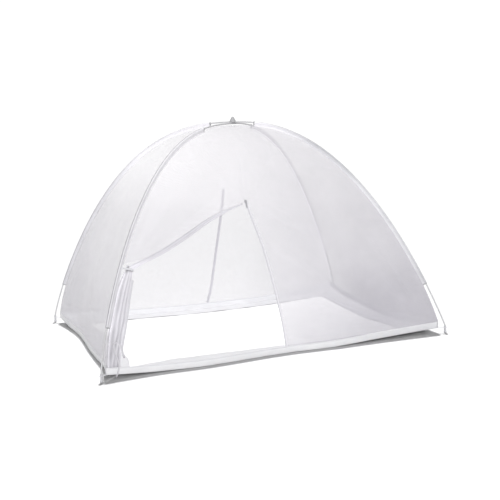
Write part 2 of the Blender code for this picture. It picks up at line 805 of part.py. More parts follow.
def half_thickness(pitch, depth):
    """Half the height of a sloping leg of a fold, so that its cloth is LEAF_THICKNESS thick."""
    low, high = 0.0, depth / 2
    for _ in range(30):
        reach = (low + high) / 2
        slope = math.hypot(pitch, depth - 2 * reach) / pitch
        if 2 * reach / slope < LEAF_THICKNESS:
            low = reach
        else:
            high = reach
    return low


def folded_section(width, depth, lean, lead):
    """The closed outline of folded cloth, across and deep: out along one face and back the other."""
    steps = 2 * LEAF_FOLDS
    reach = half_thickness(width / steps, depth)
    line = []
    for i in range(steps + 1):
        turn = 0 if i in (0, steps) else (1 if i % 2 else -1)
        uneven = 1 - 0.14 * (1 + math.sin(2.3 * i + lean))
        across = width * (i / steps + 0.026 * abs(turn) * math.sin(3.1 * i + lean))
        line.append(Vector((across, (depth / 2 - reach) * turn * uneven)))
    line.insert(1, line[0].lerp(line[1], LEAF_LEAD_NONE * (1 - lead.share)))
    line[0] = Vector((lead.across, lead.deep)) * lead.share
    near = [(point.x, point.y + reach) for point in line]
    far = [(point.x, point.y - reach) for point in line]
    return near + far[::-1]


def swag_stations():
    """Places along the leaf's upper part, from the slider's end towards the tie."""
    wall = WALLS["front"]
    held = []
    for i in range(wall.columns, -1, -1):
        share = i / wall.columns
        row = ROW_SLIDER - (ROW_SLIDER - ROW_TIE) * (1 - swag_rise(share))
        held.append(net_point(wall, row, middle_line(wall, row) * share))
    runs = [(held[i + 1] - held[max(i - 1, 0)]).normalized() for i in range(wall.columns)]
    held[0] = held[0].lerp(held[1], LEAF_END_SHARE)
    stations = []
    for i, run in enumerate(runs):
        across = run.cross(-wall.outward).normalized()
        if across.z > 0:
            across.negate()
        size = smooth_lookup(LEAF_GATHERED, 1 - i / wall.columns)
        place = held[i] + across * LEAF_STAND
        stations.append(Station(place, across, size.width, size.depth, Lead(0.0, 0.0, 0.0)))
    return stations


def row_at_height(arch, height):
    """The row of cloth, counted up a half arch, whose angle gives a height."""
    angle = angle_at_height(arch, height)
    for row in range(ROW_CROWN):
        low, high = angle_at_row(arch, row), angle_at_row(arch, row + 1)
        if angle <= high:
            return row + max(angle - low, 0.0) / (high - low)
    return ROW_CROWN


def hanging_stations():
    """Places down the leaf's hanging part, from the tie to its hem."""
    wall, arch = WALLS["front"], HALF_ARCHES["front_left"]
    stations = []
    for size in LEAF_HANGING:
        seam = seam_point(arch, wall, row_at_height(arch, size.height + SEAM_DROP))
        held = Vector((seam.x + size.off, seam.y + LEAF_INSET, size.height))
        turn = min(max((TIE_HEIGHT - size.height) / LEAF_TURN_HEIGHT, 0.0), 1.0) * math.pi / 2
        across = Vector((math.sin(turn) + 0.3 * math.cos(turn), 0, -math.cos(turn))).normalized()
        share = min(max((LEAF_LEAD_TOP - size.height) / LEAF_LEAD_GROWS, 0.0), 1.0)
        lead = Lead(LEAF_LEAD_SIDE - size.off, LEAF_LEAD_DEEP - LEAF_INSET, share)
        stations.append(Station(held, across, size.width, size.depth, lead))
    return stations


def make_door_leaf():
    """Makes the gathered door leaf: pleats along the swag, drawn in at the tie, then hanging."""
    shape = bmesh.new()
    rings = []
    inward = -WALLS["front"].outward
    for k, place in enumerate(swag_stations() + hanging_stations()):
        outline = folded_section(place.width, place.depth, 0.35 * k, place.lead)
        points = [place.held + place.across * a + inward * d for a, d in outline]
        rings.append([shape.verts.new(point) for point in points])
    count = len(rings[0])
    for low, high in zip(rings, rings[1:]):
        for i in range(count):
            j = (i + 1) % count
            shape.faces.new((low[i], low[j], high[j], high[i]))
    half = count // 2
    for ring in (rings[0], rings[-1]):
        for i in range(half - 1):
            shape.faces.new((ring[i], ring[i + 1], ring[count - 2 - i], ring[count - 1 - i]))
    return add_mesh("door_flap", shape, NET)


def ribbon(name, line, outs, width, thickness, finish, chain=0.0):
    """Makes a flat tape along a line; outs are the directions its face looks, one for each point."""
    shape = bmesh.new()
    rings = []
    for i, (point, out) in enumerate(zip(line, outs)):
        run = line[min(i + 1, len(line) - 1)] - line[max(i - 1, 0)]
        side = run.cross(out).normalized()
        face = side.cross(run).normalized()
        if face.dot(out) < 0:
            face.negate()
        top = thickness / 2
        outline = [(-width / 2, -top), (width / 2, -top), (width / 2, top)]
        if chain:
            outline += [
                (chain / 2, top),
                (chain / 2 * 0.7, top + ZIP_CHAIN_RAISE),
                (-chain / 2 * 0.7, top + ZIP_CHAIN_RAISE),
                (-chain / 2, top),
            ]
        outline.append((-width / 2, top))
        rings.append([shape.verts.new(point + side * a + face * d) for a, d in outline])
    for low, high in zip(rings, rings[1:]):
        for i in range(len(low)):
            j = (i + 1) % len(low)
            shape.faces.new((low[i], low[j], high[j], high[i]))
    shape.faces.new(rings[0])
    shape.faces.new(rings[-1][::-1])
    return add_mesh(name, shape, finish)


def outward_face(wall, row, across):
    """The direction that the outside of the net looks at a point."""
    step = 0.02
    up = net_point(wall, row + 0.2, across) - net_point(wall, max(row - 0.2, 0), across)
    along = net_point(wall, row, across + step) - net_point(wall, row, across - step)
    face = along.cross(up).normalized()
    return face if face.dot(wall.outward) > 0 else -face


def zip_line(wall, shift):
    """Points and outward directions just outside the net, along a wall's middle line."""
    points, outs = [], []
    for row in range(ROW_HEM, ROW_SLIDER + 1):
        across = middle_line(wall, row)
        out = outward_face(wall, row, across)
        point = net_point(wall, row, across)
        point += out * (NET_THICKNESS / 2 + TAPE_THICKNESS / 2 + ZIP_STAND)
        side = Vector((0, 0, 1)).cross(wall.outward)
        points.append(point + side * shift)
        outs.append(out)
    return points, outs


def make_zips():
    """Makes the tapes of the door's zip and of the closed zip in the back."""
    points, outs = zip_line(WALLS["front"], ZIP_WIDTH / 2 + ZIP_EDGE_STAND)
    ribbon("zip_front", points, outs, ZIP_WIDTH, TAPE_THICKNESS, TAPE)
    points, outs = zip_line(WALLS["back"], 0.0)
    ribbon("zip_back", points, outs, BACK_ZIP_WIDTH, TAPE_THICKNESS, TAPE, ZIP_CHAIN_WIDTH)
    line = leaf_tape_line()
    ribbon("zip_flap", line, carried(line, WALLS["front"].outward), LEAF_TAPE_WIDTH, TAPE_THICKNESS, TAPE)


def leaf_tape_line():
    """The middle line of the tape on the leaf's free edge, down to its loose end."""
    line = []
    for place in hanging_stations():
        if LEAF_TAPE_FOOT <= place.held.z <= LEAF_TAPE_TOP:
            reach = place.width + LEAF_TAPE_WIDTH / 2 + LEAF_TAPE_STAND
            line.append(place.held + place.across * reach)
    return line + [Vector(point) for point in LEAF_TAPE_TAIL]


def carried(line, start):
    """The direction a tape's face looks along a line, carried on without twisting."""
    outs = [start]
    for i in range(1, len(line)):
        run = (line[min(i + 1, len(line) - 1)] - line[i - 1]).normalized()
        out = outs[-1]
        outs.append((out - run * out.dot(run)).normalized())
    return outs


def make_slider(name, wall, row, pull_hangs):
    """Makes a zip slider on a wall's middle line, with its puller hanging from it."""
    across = middle_line(wall, row)
    out = outward_face(wall, row, across)
    place = net_point(wall, row, across)
    stand = NET_THICKNESS / 2 + TAPE_THICKNESS + ZIP_CHAIN_RAISE + SLIDER_STAND
    place += out * (stand + SLIDER_BODY.y / 2)
    shape = bmesh.new()
    bmesh.ops.create_cube(shape, size=1.0, matrix=Matrix.Diagonal((*SLIDER_BODY, 1)))
    bmesh.ops.bevel(
        shape, geom=shape.edges[:], offset=SLIDER_EDGE, segments=1, affect="EDGES", profile=0.5
    )
    slider = add_mesh(name, shape, SLIDER)
    slider.matrix_world = Matrix.Translation(place) @ facing(out)
    shape = bmesh.new()
    drop = SLIDER_PULL.z / 2 if pull_hangs else 0.0
    shift = Matrix.Translation((0, -SLIDER_BODY.y / 2, -drop))
    bmesh.ops.create_cube(shape, size=1.0, matrix=shift @ Matrix.Diagonal((*SLIDER_PULL, 1)))
    pull = add_mesh(name + "_pull", shape, SLIDER)
    pull.matrix_world = slider.matrix_world
    pull.hide_render = True
    pull.display_type = "WIRE"
    joined = slider.modifiers.new("pull", "BOOLEAN")
    joined.operation = "UNION"
    joined.solver = "EXACT"
    joined.object = pull
    return slider


def facing(out):
    """The turn that brings -Y to a direction and keeps +Z as near up as can be."""
    back = -out
    side = back.cross(Vector((0, 0, 1))).normalized()
    up = side.cross(back).normalized()
    return Matrix((side, back, up)).transposed().to_4x4()


def make_tie_back():
    """Makes the tape that is sewn to the seam and goes round the leaf's neck."""
    wall, arch = WALLS["front"], HALF_ARCHES["front_left"]
    held, across, width, depth, _ = hanging_stations()[0]
    inward = -wall.outward
    centre = held + across * width / 2
    radius_across = width * TIE_SHARE_ACROSS + TIE_SLACK
    radius_in = depth * TIE_SHARE_DEEP + TIE_SLACK
    seam, _, away = arch_frame(arch, angle_at_height(arch, centre.z + SEAM_DROP))
    seam = seam - away * (SLEEVE_DEPTH - TIE_WIDTH / 2)
    seam += side_of(arch, wall) * (SLEEVE_EDGE + TAPE_THICKNESS / 2 + TIE_STAND)
    come_from = math.atan2((seam - centre).dot(inward), (seam - centre).dot(across))
    line, outs = [seam], [side_of(arch, wall)]
    for i in range(TIE_STEPS + 1):
        turn = come_from + TIE_START + TIE_TURN * i / TIE_STEPS
        out = across * math.cos(turn) * radius_across + inward * math.sin(turn) * radius_in
        line.append(centre + out)
        outs.append(out.normalized())
    return ribbon("tie_back", line, outs, TIE_WIDTH, TAPE_THICKNESS, TAPE)


def main():
    """Builds the canopy."""
    clear_scene()
    make_pole("pole_upper", HALF_ARCHES["back_left"], HALF_ARCHES["front_right"])
    make_pole("pole_lower", HALF_ARCHES["front_left"], HALF_ARCHES["back_right"])
    for arch in HALF_ARCHES.values():
        make_foot_cap(arch)
        make_corner_strap(arch)
        make_sleeve(arch)
    make_crown_clip()
    make_net()
    make_border()
    make_door_leaf()
    make_zips()
    make_slider("slider_front", WALLS["front"], ROW_SLIDER, True)
    make_slider("slider_back", WALLS["back"], BACK_SLIDER_ROW, False)
    make_tie_back()


main()
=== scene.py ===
"""Dresses the mosquito net canopy: sheer net, sewn sleeves, border, zips, rods and fittings.

The canopy stands on two rods that cross over its crown. Its cloth is rebuilt here as thin sheets on
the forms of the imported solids, with the finer creases and gathers that the solids leave out.
"""

import logging
import math
from collections import Counter
from dataclasses import dataclass, field
from enum import Enum
from typing import Callable, NamedTuple, Optional, Sequence, Union

import bmesh
import bpy
import numpy as np
from mathutils import Matrix, Vector


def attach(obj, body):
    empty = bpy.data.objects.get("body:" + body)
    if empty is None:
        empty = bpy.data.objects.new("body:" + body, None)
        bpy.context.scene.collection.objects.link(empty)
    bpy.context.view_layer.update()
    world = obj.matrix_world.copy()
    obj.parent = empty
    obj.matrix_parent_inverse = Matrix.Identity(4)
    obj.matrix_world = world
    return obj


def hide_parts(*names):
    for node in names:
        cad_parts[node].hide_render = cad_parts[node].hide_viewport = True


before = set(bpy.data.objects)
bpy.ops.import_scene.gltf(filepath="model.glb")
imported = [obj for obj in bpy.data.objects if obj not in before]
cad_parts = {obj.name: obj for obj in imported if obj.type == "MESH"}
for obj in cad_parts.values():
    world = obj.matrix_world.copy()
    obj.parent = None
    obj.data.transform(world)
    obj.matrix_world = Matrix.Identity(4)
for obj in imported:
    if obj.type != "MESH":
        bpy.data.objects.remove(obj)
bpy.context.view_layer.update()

log = logging.getLogger("canopy")

BODY = "root"
UV_NAME = "cloth"
# The point attribute that carries the gathered net's painted shade, darker in the hollows of its
# folds.
FOLD_NAME = "fold"
UP = Vector((0, 0, 1))

Colour = tuple[float, float, float]
Table = tuple[tuple[float, ...], ...]
Line = Sequence[Vector]
Piece = bpy.types.Object
Material = bpy.types.Material


# ---- tables of the canopy's form ---------------------------------------------------------------


class Corner(Enum):
    """The corners of the base, each under one half of a rod."""

    FRONT_LEFT = "front_left"
    FRONT_RIGHT = "front_right"
    BACK_RIGHT = "back_right"
    BACK_LEFT = "back_left"


class Side(Enum):
    """The sides of the net."""

    FRONT = "front"
    BACK = "back"
    LEFT = "left"
    RIGHT = "right"


class Hold(Enum):
    """How a sheet of cloth is held."""

    GATHERED = "gathered"
    LAID = "laid"
    STRETCHED = "stretched"


class HalfArch(NamedTuple):
    """One half of a rod, from its foot to the crossing.

    Its sides are -1 or 1, fullness and rise are the powers of its curve, over is 1 where it passes
    over the other rod, and its sleeve runs from the mouth's height to a reach from the middle.
    """

    x_side: int
    y_side: int
    fullness: float
    rise: float
    over: int
    mouth_height: float
    sleeve_reach: float


class Wall(NamedTuple):
    """One side of the net, between two half arches."""

    side: Side
    start: Corner
    end: Corner
    outward: Vector
    sag: float

    @property
    def axis(self) -> int:
        """The axis that runs along the wall: 0 for x and 1 for y."""
        return 0 if self.outward.x == 0 else 1


class Crease(NamedTuple):
    """A fold or crease from one point of a side to another, outwards where its depth is above 0."""

    along_from: float
    up_from: float
    along_to: float
    up_to: float
    half_width: float
    depth: float


class Hanging(NamedTuple):
    """A level of the gathered leaf below its tie."""

    height: float
    off: float
    width: float
    depth: float


class Station(NamedTuple):
    """A place along the leaf: its held edge, the way across, its size and its lead-in's edge."""

    held: Vector
    across: Vector
    width: float
    depth: float
    lead: Vector


def creases(*rows: Sequence[float]) -> tuple[Crease, ...]:
    """Makes creases of rows of numbers."""
    return tuple(Crease(*row) for row in rows)


HALF_ARCHES: dict[Corner, HalfArch] = {
    Corner.FRONT_LEFT: HalfArch(-1, -1, 0.761, 1.568, -1, 0.270, 0.30),
    Corner.FRONT_RIGHT: HalfArch(1, -1, 0.874, 1.915, 1, 0.295, 0.13),
    Corner.BACK_RIGHT: HalfArch(1, 1, 0.885, 1.920, -1, 0.270, 0.20),
    Corner.BACK_LEFT: HalfArch(-1, 1, 0.810, 1.768, 1, 0.255, 0.14),
}

WALLS: dict[Side, Wall] = {
    Side.FRONT: Wall(Side.FRONT, Corner.FRONT_LEFT, Corner.FRONT_RIGHT, Vector((0, -1, 0)), 0.055),
    Side.BACK: Wall(Side.BACK, Corner.BACK_LEFT, Corner.BACK_RIGHT, Vector((0, 1, 0)), 0.080),
    Side.LEFT: Wall(Side.LEFT, Corner.FRONT_LEFT, Corner.BACK_LEFT, Vector((-1, 0, 0)), 0.030),
    Side.RIGHT: Wall(Side.RIGHT, Corner.FRONT_RIGHT, Corner.BACK_RIGHT, Vector((1, 0, 0)), 0.045),
}

# Where a side's middle line runs: the row of cloth and the share of the way across.
MIDDLE_LINES: dict[Side, Table] = {
    Side.FRONT: ((0, 0.507), (3, 0.508), (6, 0.491), (9, 0.452)),
    Side.BACK: ((0, 0.495), (3, 0.526), (6, 0.549), (9, 0.568)),
    Side.LEFT: ((0, 0.500), (9, 0.500)),
    Side.RIGHT: ((0, 0.500), (9, 0.500)),
}

# Where a side meets the floor: the share of the way along it, how far in it lies, how far it is
# lifted and how deep its strip on the floor is.
GROUND_LINES: dict[Side, Table] = {
    Side.FRONT: (
        (0, 0, 0.026, 0.155), (0.05, 0, 0.017, 0.175), (0.15, -0.002, 0.004, 0.195),
        (0.28, -0.016, 0, 0.2), (0.5, 0.008, 0, 0.16), (0.64, -0.004, 0, 0.15),
        (0.84, 0, 0.014, 0.15), (1, 0, 0.026, 0.155),
    ),
    Side.BACK: (
        (0, 0, 0.026, 0.155), (0.1, 0.01, 0.012, 0.15), (0.22, 0.035, 0, 0.14),
        (0.36, 0.078, 0, 0.13), (0.5, 0.094, 0, 0.13), (0.75, 0.078, 0, 0.135),
        (0.9, 0.025, 0.01, 0.145), (1, 0, 0.026, 0.155),
    ),
    Side.LEFT: (
        (0, 0, 0.026, 0.155), (0.16, 0.03, 0.006, 0.155), (0.4, 0.028, 0, 0.155),
        (0.68, 0.04, 0, 0.15), (0.86, 0.02, 0.006, 0.15), (1, 0, 0.026, 0.155),
    ),
    Side.RIGHT: (
        (0, 0, 0.026, 0.155), (0.18, 0.018, 0.008, 0.15), (0.34, 0.052, 0, 0.145),
        (0.55, 0.04, 0, 0.15), (0.85, 0.012, 0.006, 0.155), (1, 0, 0.026, 0.155),
    ),
}

# The open door's upper line: the share of the way to the slider, and of the rise.
SWAG_LINE: Table = (
    (0, 0), (0.15, 0.075), (0.27, 0.215), (0.44, 0.465), (0.61, 0.705), (0.79, 0.865), (1, 1),
)

# The wide folds, which the solids have as well. A row of a fold or crease says where it starts and
# ends, along the side and up it, and then its half width and its depth.
FOLDS: dict[Side, tuple[Crease, ...]] = {
    Side.FRONT: creases(
        (-0.78, 0.6, -0.36, 1.04, 0.075, 0.011), (-0.66, 0.66, -0.16, 0.97, 0.07, -0.01),
        (-0.13, 0.86, -0.1, 1.18, 0.07, 0.009), (-0.1, 0.82, 0.55, 0.36, 0.09, -0.009),
        (0.34, 0.14, 0.78, 0.32, 0.085, 0.01),
    ),
    Side.BACK: creases(
        (-0.62, 0.3, -0.1, 0.62, 0.095, 0.012), (0.3, 0.16, 0.46, 0.74, 0.09, -0.011),
    ),
    Side.LEFT: creases(
        (-0.34, 0.16, 0.16, 0.66, 0.085, 0.011), (0.3, 0.24, -0.06, 0.86, 0.08, -0.01),
    ),
    Side.RIGHT: creases(
        (-0.38, 0.18, 0.1, 0.62, 0.085, 0.011), (0.34, 0.22, 0.04, 0.8, 0.085, -0.01),
    ),
}

# The narrow creases, placed one by one: from the tie, the slider, the crown and the corners.
CREASES: dict[Side, tuple[Crease, ...]] = {
    Side.FRONT: creases(
        (-0.8, 0.63, -0.52, 0.9, 0.022, 0.006), (-0.79, 0.66, -0.6, 0.96, 0.018, -0.0045),
        (-0.76, 0.62, -0.38, 0.86, 0.02, 0.005), (-0.7, 0.61, -0.3, 0.8, 0.016, -0.004),
        (-0.14, 0.88, -0.3, 1.08, 0.016, 0.0042), (-0.11, 0.88, -0.08, 1.16, 0.014, -0.004),
        (-0.09, 0.87, 0.14, 1.1, 0.016, 0.0038), (-0.07, 0.85, 0.24, 0.86, 0.018, 0.0046),
        (-0.06, 0.8, 0.36, 0.58, 0.02, -0.005), (-0.02, 0.62, 0.44, 0.3, 0.022, 0.005),
        (0.03, 0.36, 0.34, 0.14, 0.02, -0.0042), (0.9, 0.15, 0.52, 0.44, 0.02, 0.0048),
        (0.86, 0.2, 0.62, 0.6, 0.018, -0.004), (0.92, 0.11, 0.42, 0.16, 0.018, 0.004),
        (0.07, 1.23, 0.16, 1.07, 0.012, 0.0032), (-0.05, 1.24, -0.02, 1.12, 0.012, -0.003),
        (0.66, 0.72, 0.4, 0.66, 0.02, 0.0034), (0.76, 0.52, 0.5, 0.5, 0.02, -0.0034),
    ),
    Side.BACK: creases(
        (-0.88, 0.2, -0.56, 0.52, 0.022, 0.005), (-0.9, 0.12, -0.4, 0.18, 0.02, -0.0044),
        (0.12, 0.86, 0.04, 1.14, 0.016, 0.004), (0.12, 0.84, 0.4, 0.66, 0.018, -0.0044),
        (0.08, 0.84, -0.22, 0.6, 0.018, 0.0044), (0.9, 0.16, 0.58, 0.48, 0.022, 0.005),
        (0.88, 0.24, 0.66, 0.62, 0.018, -0.004), (-0.36, 0.12, -0.18, 0.42, 0.024, -0.0044),
        (0.34, 0.12, 0.22, 0.44, 0.024, 0.0044), (0.05, 1.23, 0.14, 1.08, 0.012, 0.003),
    ),
    Side.LEFT: creases(
        (0.58, 0.12, -0.62, 0.345, 0.016, 0.006), (-0.62, 0.18, -0.34, 0.48, 0.022, 0.0052),
        (-0.64, 0.12, -0.16, 0.2, 0.02, -0.0044), (-0.54, 0.58, -0.22, 0.7, 0.02, 0.0046),
        (-0.5, 0.64, -0.2, 0.9, 0.018, -0.004), (0.62, 0.18, 0.38, 0.54, 0.022, 0.005),
        (0.64, 0.12, 0.2, 0.16, 0.02, 0.004), (0.02, 1.2, 0.05, 0.92, 0.014, -0.0036),
        (-0.08, 0.14, 0.06, 0.4, 0.022, 0.0042),
    ),
    Side.RIGHT: creases(
        (-0.62, 0.18, -0.32, 0.52, 0.022, 0.0052), (-0.64, 0.12, -0.18, 0.16, 0.02, -0.0042),
        (-0.46, 0.62, -0.14, 0.74, 0.02, 0.0044), (0.62, 0.18, 0.36, 0.5, 0.022, -0.005),
        (0.62, 0.12, 0.16, 0.2, 0.02, 0.0044), (0.02, 1.2, -0.03, 0.94, 0.014, 0.0036),
        (0.1, 0.14, -0.04, 0.44, 0.022, -0.0042),
    ),
}

# The hanging part of the leaf: a height, how far in from the seam, its width and its depth.
LEAF_HANGING: tuple[Hanging, ...] = tuple(Hanging(*row) for row in (
    (0.562, 0.032, 0.034, 0.015), (0.532, 0.026, 0.042, 0.02), (0.49, 0.019, 0.055, 0.028),
    (0.44, 0.014, 0.064, 0.032), (0.39, 0.012, 0.069, 0.035), (0.33, 0.012, 0.073, 0.036),
    (0.27, 0.012, 0.076, 0.034), (0.21, 0.013, 0.074, 0.036), (0.15, 0.014, 0.068, 0.034),
    (0.1, 0.015, 0.067, 0.03), (0.054, 0.016, 0.065, 0.028),
))

# The gathered leaf's upper part: the share of the way to the slider, its width and its depth.
LEAF_GATHERED: Table = (
    (0, 0.022, 0.018), (0.15, 0.024, 0.018), (0.35, 0.03, 0.022), (0.6, 0.027, 0.018),
    (0.85, 0.014, 0.01), (1, 0.008, 0.006),
)

# The loose end of the leaf's tape, laid after the photo.
LEAF_TAPE_TAIL: Table = (
    (-0.909, -0.674, 0.126), (-0.908, -0.682, 0.11), (-0.9085, -0.698, 0.104),
    (-0.912, -0.713, 0.114), (-0.921, -0.722, 0.144), (-0.932, -0.726, 0.178),
    (-0.95, -0.726, 0.199), (-0.966, -0.726, 0.188), (-0.964, -0.7255, 0.158),
    (-0.952, -0.725, 0.118), (-0.943, -0.724, 0.078), (-0.948, -0.724, 0.044),
    (-0.96, -0.724, 0.016),
)


def smooth_lookup(rows: Sequence[tuple], value: float) -> list[float]:
    """Reads a table at a value of its first column, on a smooth curve through its rows.

    Args:
        rows: The table, in the order of its first column.
        value: The place to read it at.

    Returns:
        The other columns' values there.
    """
    last = len(rows) - 1
    at = max(i for i in range(last) if i == 0 or rows[i][0] <= value)
    before, low, high, after = (rows[min(max(i, 0), last)] for i in range(at - 1, at + 3))
    span = high[0] - low[0]
    share = min(max((value - low[0]) / span, 0.0), 1.0)
    found = []
    for k in range(1, len(low)):
        slope_low = (high[k] - before[k]) / (high[0] - before[0]) * span
        slope_high = (after[k] - low[k]) / (after[0] - low[0]) * span
        found.append(
            (2 * share**3 - 3 * share**2 + 1) * low[k]
            + (share**3 - 2 * share**2 + share) * slope_low
            + (3 * share**2 - 2 * share**3) * high[k]
            + (share**3 - share**2) * slope_high
        )
    return found


# ---- the form of the arches, the seams and the net ---------------------------------------------


@dataclass(frozen=True)
class CanopyForm:
    """The lines of the canopy: arches, seams, net and border, in metres."""

    length: float = 2.00
    width: float = 1.40
    crown_height: float = 1.278
    corner_to_foot: float = 0.046
    foot_straight: float = 0.042
    crossing_lift: float = 0.0044
    crossing_sharpness: int = 12
    seam_drop: float = 0.018
    corner_drop: float = 0.032
    corner_ease: float = 1.2
    corner_blend: float = 1 / 6
    seam_side_at_sleeve: float = 0.0026
    seam_side_at_corner: float = 0.0013
    seam_side_at_crown: float = 0.0009
    crown_reach: float = 0.007
    sill_height: float = 0.040
    hem_gap: float = 0.0007
    corner_lift: float = 0.026
    strip_at_corner: float = 0.155
    tie_height: float = 0.588
    slider_height: float = 0.851
    settle_height: float = 0.42
    row_hem: int = 0
    row_mouth: int = 3
    row_tie: int = 6
    row_slider: int = 9
    row_sleeve_top: int = 15
    row_crown: int = 18

    @property
    def diagonal(self) -> float:
        """The distance from the middle to a corner of the base."""
        return math.hypot(self.length / 2, self.width / 2)

    @property
    def foot_reach(self) -> float:
        """The distance from the middle to a rod's foot."""
        return self.diagonal + self.corner_to_foot

    @property
    def net_crown(self) -> float:
        """The height of the net's highest point."""
        return self.crown_height - self.seam_drop

    @property
    def hem_height(self) -> float:
        """The height of the net's hem at a corner."""
        return self.sill_height + self.hem_gap + self.corner_lift

    def span(self, wall: Wall) -> float:
        """The length of the base along a wall."""
        return self.length if wall.axis == 0 else self.width

    def angle_at_height(self, arch: HalfArch, height: float) -> float:
        """The angle along a half arch, 0 at its foot, at a height."""
        share = (height - self.foot_straight) / (self.crown_height - self.foot_straight)
        return math.asin(share ** (1 / arch.rise))

    def angle_at_reach(self, arch: HalfArch, reach: float) -> float:
        """The angle along a half arch at a distance from the middle."""
        return math.acos((reach / self.foot_reach) ** (1 / arch.fullness))

    def angle_at_row(self, arch: HalfArch, row: float) -> float:
        """The angle along a half arch at a row of cloth.

        Args:
            arch: The half arch.
            row: The row, which may lie between two whole ones.

        Returns:
            The angle in radians.
        """
        marks = (
            (self.row_hem, self.angle_at_height(arch, self.hem_height)),
            (self.row_mouth, self.angle_at_height(arch, arch.mouth_height)),
            (self.row_tie, self.angle_at_height(arch, self.tie_height)),
            (self.row_slider, self.angle_at_height(arch, self.slider_height)),
            (self.row_sleeve_top, self.angle_at_reach(arch, arch.sleeve_reach)),
            (self.row_crown, self.angle_at_reach(arch, self.crown_reach)),
        )
        for (low_row, low), (high_row, high) in zip(marks, marks[1:]):
            if row <= high_row:
                return low + (high - low) * (row - low_row) / (high_row - low_row)
        return marks[-1][1]

    def row_at_height(self, arch: HalfArch, height: float) -> float:
        """The row of cloth at a height of a half arch.

        Args:
            arch: The half arch.
            height: The height.

        Returns:
            The row, which may lie between two whole ones.
        """
        angle = self.angle_at_height(arch, height)
        for row in range(self.row_crown):
            low, high = self.angle_at_row(arch, row), self.angle_at_row(arch, row + 1)
            if angle <= high:
                return row + max(angle - low, 0.0) / (high - low)
        return self.row_crown

    def outward_of(self, arch: HalfArch) -> Vector:
        """The level direction from the middle to a half arch's foot."""
        along, deep = arch.x_side * self.length / 2, arch.y_side * self.width / 2
        return Vector((along, deep, 0)) / self.diagonal

    def arch_point(self, arch: HalfArch, angle: float) -> Vector:
        """A point on the middle line of a rod.

        Args:
            arch: The half arch.
            angle: The angle along it.

        Returns:
            The point.
        """
        cosine, sine = max(math.cos(angle), 0.0), max(math.sin(angle), 0.0)
        point = self.outward_of(arch) * (self.foot_reach * cosine**arch.fullness)
        rise = (self.crown_height - self.foot_straight) * sine**arch.rise
        lift = arch.over * self.crossing_lift * sine**self.crossing_sharpness
        point.z = self.foot_straight + rise + lift
        return point

    def arch_frame(self, arch: HalfArch, angle: float) -> tuple[Vector, Vector]:
        """A place on a rod.

        Args:
            arch: The half arch.
            angle: The angle along it.

        Returns:
            The middle point, and the direction away from the dome.
        """
        step = 0.002
        low = self.arch_point(arch, max(angle - step, 0.0))
        high = self.arch_point(arch, min(angle + step, math.pi / 2))
        along = (high - low).normalized()
        away = UP.cross(self.outward_of(arch)).cross(along).normalized()
        if away.dot(self.outward_of(arch)) + away.z < 0:
            away.negate()
        return self.arch_point(arch, angle), away

    def side_of(self, arch: HalfArch, wall: Wall) -> Vector:
        """The level direction across a diagonal, towards a wall."""
        across = UP.cross(self.outward_of(arch))
        return across if across.dot(wall.outward) > 0 else -across

    def seam_point(self, arch: HalfArch, wall: Wall, row: float) -> Vector:
        """Where a wall's edge meets the seam under a rod.

        Args:
            arch: The half arch.
            wall: The wall.
            row: The row of cloth.

        Returns:
            The point.
        """
        centre, away = self.arch_frame(arch, self.angle_at_row(arch, row))
        drop = self.seam_drop
        if row <= self.row_mouth:
            share = 1 - row / self.row_mouth
            drop += (self.corner_drop - self.seam_drop) * share**self.corner_ease
            side = self.seam_side_at_sleeve
            side += (self.seam_side_at_corner - side) * min(share / self.corner_blend, 1.0)
            away = away.lerp(self.outward_of(arch), share).normalized()
        elif row <= self.row_sleeve_top:
            side = self.seam_side_at_sleeve
        else:
            side = self.seam_side_at_crown
        return centre - away * drop + self.side_of(arch, wall) * side

    def middle_line(self, wall: Wall, row: float) -> float:
        """How far across a wall its middle line lies at a row."""
        return smooth_lookup(MIDDLE_LINES[wall.side], min(row, self.row_slider))[0]

    def swag_rise(self, share: float) -> float:
        """How far up the door's upper line has come at a share of its way to the slider."""
        return smooth_lookup(SWAG_LINE, share)[0]

    def swag_row(self, share: float) -> float:
        """The row of cloth that the door's upper line crosses at a share of its way."""
        return self.row_slider - (self.row_slider - self.row_tie) * (1 - self.swag_rise(share))

    def net_row(self, wall: Wall, row: float) -> Callable[[float], Vector]:
        """Prepares a row of a wall.

        Args:
            wall: The wall.
            row: The row.

        Returns:
            A function from a share of the way across to the point there.
        """
        start = self.seam_point(HALF_ARCHES[wall.start], wall, row)
        end = self.seam_point(HALF_ARCHES[wall.end], wall, row)

        def point_at(across: float) -> Vector:
            """The point at a place on the row.

            Args:
                across: The share of the way across.

            Returns:
                The point.
            """
            point = start.lerp(end, across)
            slack = 4 * across * (1 - across)
            swell = math.sin(math.pi * min(point.z / self.net_crown, 1.0))
            inward = wall.sag * slack * swell
            inward -= fold_depth(wall, point) * min(slack * 2.5, 1.0)
            settle = max(0.0, 1 - (point.z - self.hem_height) / self.settle_height) ** 2
            ground_in, lift, _ = smooth_lookup(GROUND_LINES[wall.side], across)
            inward += ground_in * settle
            point.z -= (self.corner_lift - max(lift, 0.0)) * settle
            return point - wall.outward * inward

        return point_at

    def net_point(self, wall: Wall, row: float, across: float) -> Vector:
        """A point on a wall of net."""
        return self.net_row(wall, row)(across)

    def outward_face(self, wall: Wall, row: float, across: float) -> Vector:
        """The way that the outside of the net looks.

        Args:
            wall: The wall.
            row: The row of cloth.
            across: The share of the way across.

        Returns:
            The direction there.
        """
        step = 0.02
        up = self.net_point(wall, row + 0.2, across)
        up -= self.net_point(wall, max(row - 0.2, 0), across)
        along = self.net_point(wall, row, across + step) - self.net_point(wall, row, across - step)
        face = along.cross(up).normalized()
        return face if face.dot(wall.outward) > 0 else -face


